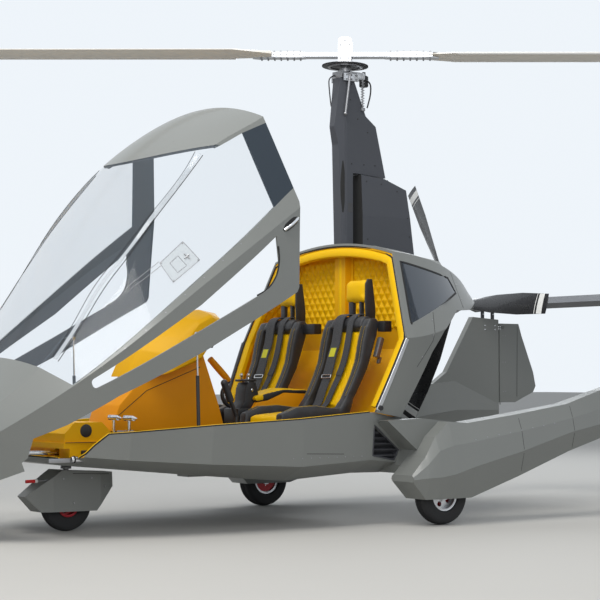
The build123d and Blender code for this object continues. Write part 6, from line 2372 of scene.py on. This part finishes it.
# Stage
def build_stage(settings):
    """Floor, world, lamps and camera."""
    floor_mesh = bpy.data.meshes.new("floor")
    reach = settings.reach
    floor_mesh.from_pydata(
        [(-reach, -reach, 0), (reach, -reach, 0), (reach, reach, 0), (-reach, reach, 0)], [], [(0, 1, 2, 3)]
    )
    floor = bpy.data.objects.new("floor", floor_mesh)
    bpy.context.scene.collection.objects.link(floor)
    floor_mesh.materials.append(
        surface("floor_pale", settings.floor_color, 0.85, 0.0, (0.6, 0.04), ("noise", 30.0, 0.05), {})
    )
    world = bpy.data.worlds.new("studio")
    bpy.context.scene.world = world
    world.use_nodes = True
    tree = world.node_tree
    back = tree.nodes["Background"]
    back.inputs["Color"].default_value = (0.80, 0.87, 0.96, 1.0)
    back.inputs["Strength"].default_value = settings.fill
    seen = node(tree, "ShaderNodeBackground", (("Color", (*settings.sky_color, 1.0)), ("Strength", 1.0)))
    path = node(tree, "ShaderNodeLightPath")
    either = node(tree, "ShaderNodeMath", operation="MAXIMUM")
    tree.links.new(path.outputs["Is Camera Ray"], either.inputs[0])
    tree.links.new(path.outputs["Is Glossy Ray"], either.inputs[1])
    third = node(tree, "ShaderNodeMath", operation="MAXIMUM")
    tree.links.new(either.outputs["Value"], third.inputs[0])
    tree.links.new(path.outputs["Is Transmission Ray"], third.inputs[1])
    mix = node(tree, "ShaderNodeMixShader")
    tree.links.new(third.outputs["Value"], mix.inputs["Fac"])
    tree.links.new(back.outputs["Background"], mix.inputs[1])
    tree.links.new(seen.outputs["Background"], mix.inputs[2])
    tree.links.new(mix.outputs["Shader"], tree.nodes["World Output"].inputs["Surface"])
    for label, place, size, power, color in (
        ("key", (4.5, 1.5, 8.5), 5.0, settings.key, (1.0, 0.98, 0.94)),
        ("rim", (-6.0, -5.0, 6.0), 5.0, settings.key * 0.45, (0.92, 0.96, 1.0)),
        ("front", (6.5, 8.0, 4.5), 5.0, settings.key * 0.46, (1.0, 1.0, 1.0)),
    ):
        lamp = bpy.data.lights.new(label, "AREA")
        lamp.size = size
        lamp.energy = power
        lamp.color = color
        placed = bpy.data.objects.new(label, lamp)
        placed.location = place
        placed.rotation_euler = (Vector((0.4, 0.0, 1.0)) - Vector(place)).to_track_quat("-Z", "Y").to_euler()
        bpy.context.scene.collection.objects.link(placed)
    data = bpy.data.cameras.new("camera")
    data.lens = CAMERA_LENS
    data.sensor_width = CAMERA_SENSOR
    data.clip_end = 200.0
    camera = bpy.data.objects.new("camera", data)
    look = Vector(
        (
            -math.sin(CAMERA_YAW) * math.cos(CAMERA_PITCH),
            -math.cos(CAMERA_YAW) * math.cos(CAMERA_PITCH),
            math.sin(CAMERA_PITCH),
        )
    )
    camera.location = CAMERA_PLACE
    camera.rotation_euler = look.to_track_quat("-Z", "Y").to_euler()
    bpy.context.scene.collection.objects.link(camera)
    bpy.context.scene.camera = camera
    bpy.context.scene.view_settings.view_transform = "Standard"


# Operators, one for each group of like pieces and one for the stage
class GYROPLANE_OT_stage(bpy.types.Operator):
    """Floor, lamps, world and camera"""

    bl_idname = "gyroplane.stage"
    bl_label = "Stage"

    def execute(self, context):
        build_stage(context.scene.gyroplane.stage)
        return {"FINISHED"}


class GYROPLANE_OT_finishes(bpy.types.Operator):
    """Finishes of every carried-over solid"""

    bl_idname = "gyroplane.finishes"
    bl_label = "Finishes"

    def execute(self, context):
        dress_nodes(context.scene.gyroplane.finish)
        return {"FINISHED"}


class GYROPLANE_OT_wheels(bpy.types.Operator):
    """Tyres with grooves, rims, brake discs and bolts"""

    bl_idname = "gyroplane.wheels"
    bl_label = "Wheels"

    def execute(self, context):
        build_wheels(context.scene.gyroplane.tyre)
        return {"FINISHED"}


class GYROPLANE_OT_seats(bpy.types.Operator):
    """Padded seats with quilting and stitches"""

    bl_idname = "gyroplane.seats"
    bl_label = "Seats"

    def execute(self, context):
        build_seats(context.scene.gyroplane.seat)
        return {"FINISHED"}


class GYROPLANE_OT_belts(bpy.types.Operator):
    """Harness straps, adjusters, tags and buckles"""

    bl_idname = "gyroplane.belts"
    bl_label = "Belts"

    def execute(self, context):
        build_belts()
        return {"FINISHED"}


class GYROPLANE_OT_quilts(bpy.types.Operator):
    """Diamond-quilted panels of the rear cabin"""

    bl_idname = "gyroplane.quilts"
    bl_label = "Quilted panels"

    def execute(self, context):
        build_quilts(context.scene.gyroplane.quilt)
        return {"FINISHED"}


class GYROPLANE_OT_cabin(bpy.types.Operator):
    """Rim pad and seal, flange, column pad and boxes"""

    bl_idname = "gyroplane.cabin"
    bl_label = "Cabin trim"

    def execute(self, context):
        build_cabin_trim()
        return {"FINISHED"}


class GYROPLANE_OT_sill(bpy.types.Operator):
    """Seal, piping, lines and screws of the tub"""

    bl_idname = "gyroplane.sill"
    bl_label = "Sill"

    def execute(self, context):
        build_sill()
        return {"FINISHED"}


class GYROPLANE_OT_hood(bpy.types.Operator):
    """Hood, skirt and displays of the instruments"""

    bl_idname = "gyroplane.hood"
    bl_label = "Instrument hood"

    def execute(self, context):
        build_hood()
        return {"FINISHED"}


class GYROPLANE_OT_cockpit(bpy.types.Operator):
    """Foot box, rails, pedals, lever and quadrant"""

    bl_idname = "gyroplane.cockpit"
    bl_label = "Cockpit"

    def execute(self, context):
        build_cockpit()
        return {"FINISHED"}


class GYROPLANE_OT_canopy(bpy.types.Operator):
    """Seam strips, handles, vent window, clip and seals"""

    bl_idname = "gyroplane.canopy"
    bl_label = "Canopy trim"

    def execute(self, context):
        build_canopy_trim()
        return {"FINISHED"}


class GYROPLANE_OT_hull(bpy.types.Operator):
    """Window edges, panel lines, louvre rims, boom and tail details"""

    bl_idname = "gyroplane.hull"
    bl_label = "Hull trim"

    def execute(self, context):
        build_hull_trim()
        return {"FINISHED"}


class GYROPLANE_OT_mast(bpy.types.Operator):
    """Painted shade of the recesses, with the bands, ridges and screws of the mast"""

    bl_idname = "gyroplane.mast"
    bl_label = "Mast trim"

    def execute(self, context):
        build_mast_trim()
        return {"FINISHED"}


class GYROPLANE_OT_head(bpy.types.Operator):
    """Ring gear, tower, straps, bolts, springs and drive"""

    bl_idname = "gyroplane.head"
    bl_label = "Rotor head"

    def execute(self, context):
        build_rotor_head()
        return {"FINISHED"}


class GYROPLANE_OT_propeller(bpy.types.Operator):
    """Tip bands, edge strips, collar and bolts"""

    bl_idname = "gyroplane.propeller"
    bl_label = "Propeller"

    def execute(self, context):
        build_propeller()
        return {"FINISHED"}


class GYROPLANE_OT_nose_gear(bpy.types.Operator):
    """Air-speed tube, bolts and lines of the nose gear"""

    bl_idname = "gyroplane.nose_gear"
    bl_label = "Nose gear"

    def execute(self, context):
        build_nose_gear()
        return {"FINISHED"}


OPERATORS = (
    GYROPLANE_OT_stage,
    GYROPLANE_OT_finishes,
    GYROPLANE_OT_wheels,
    GYROPLANE_OT_seats,
    GYROPLANE_OT_belts,
    GYROPLANE_OT_quilts,
    GYROPLANE_OT_cabin,
    GYROPLANE_OT_sill,
    GYROPLANE_OT_hood,
    GYROPLANE_OT_cockpit,
    GYROPLANE_OT_canopy,
    GYROPLANE_OT_hull,
    GYROPLANE_OT_mast,
    GYROPLANE_OT_head,
    GYROPLANE_OT_propeller,
    GYROPLANE_OT_nose_gear,
)


class GYROPLANE_PT_pieces(bpy.types.Panel):
    """Every step of the model, in order."""

    bl_label = "Gyroplane"
    bl_space_type = "VIEW_3D"
    bl_region_type = "UI"
    bl_category = "Gyroplane"

    def draw(self, context):
        for operator in OPERATORS:
            self.layout.operator(operator.bl_idname)


CLASSES = (
    StageSettings,
    FinishSettings,
    TyreSettings,
    SeatSettings,
    QuiltSettings,
    GyroplaneSettings,
) + OPERATORS + (GYROPLANE_PT_pieces,)


def register():
    for entry in CLASSES:
        bpy.utils.register_class(entry)
    bpy.types.Scene.gyroplane = PointerProperty(type=GyroplaneSettings)


def unregister():
    del bpy.types.Scene.gyroplane
    for entry in reversed(CLASSES):
        bpy.utils.unregister_class(entry)


def main():
    register()
    for operator in OPERATORS:
        getattr(bpy.ops.gyroplane, operator.bl_idname.split(".")[1])()


if __name__ == "__main__":
    main()
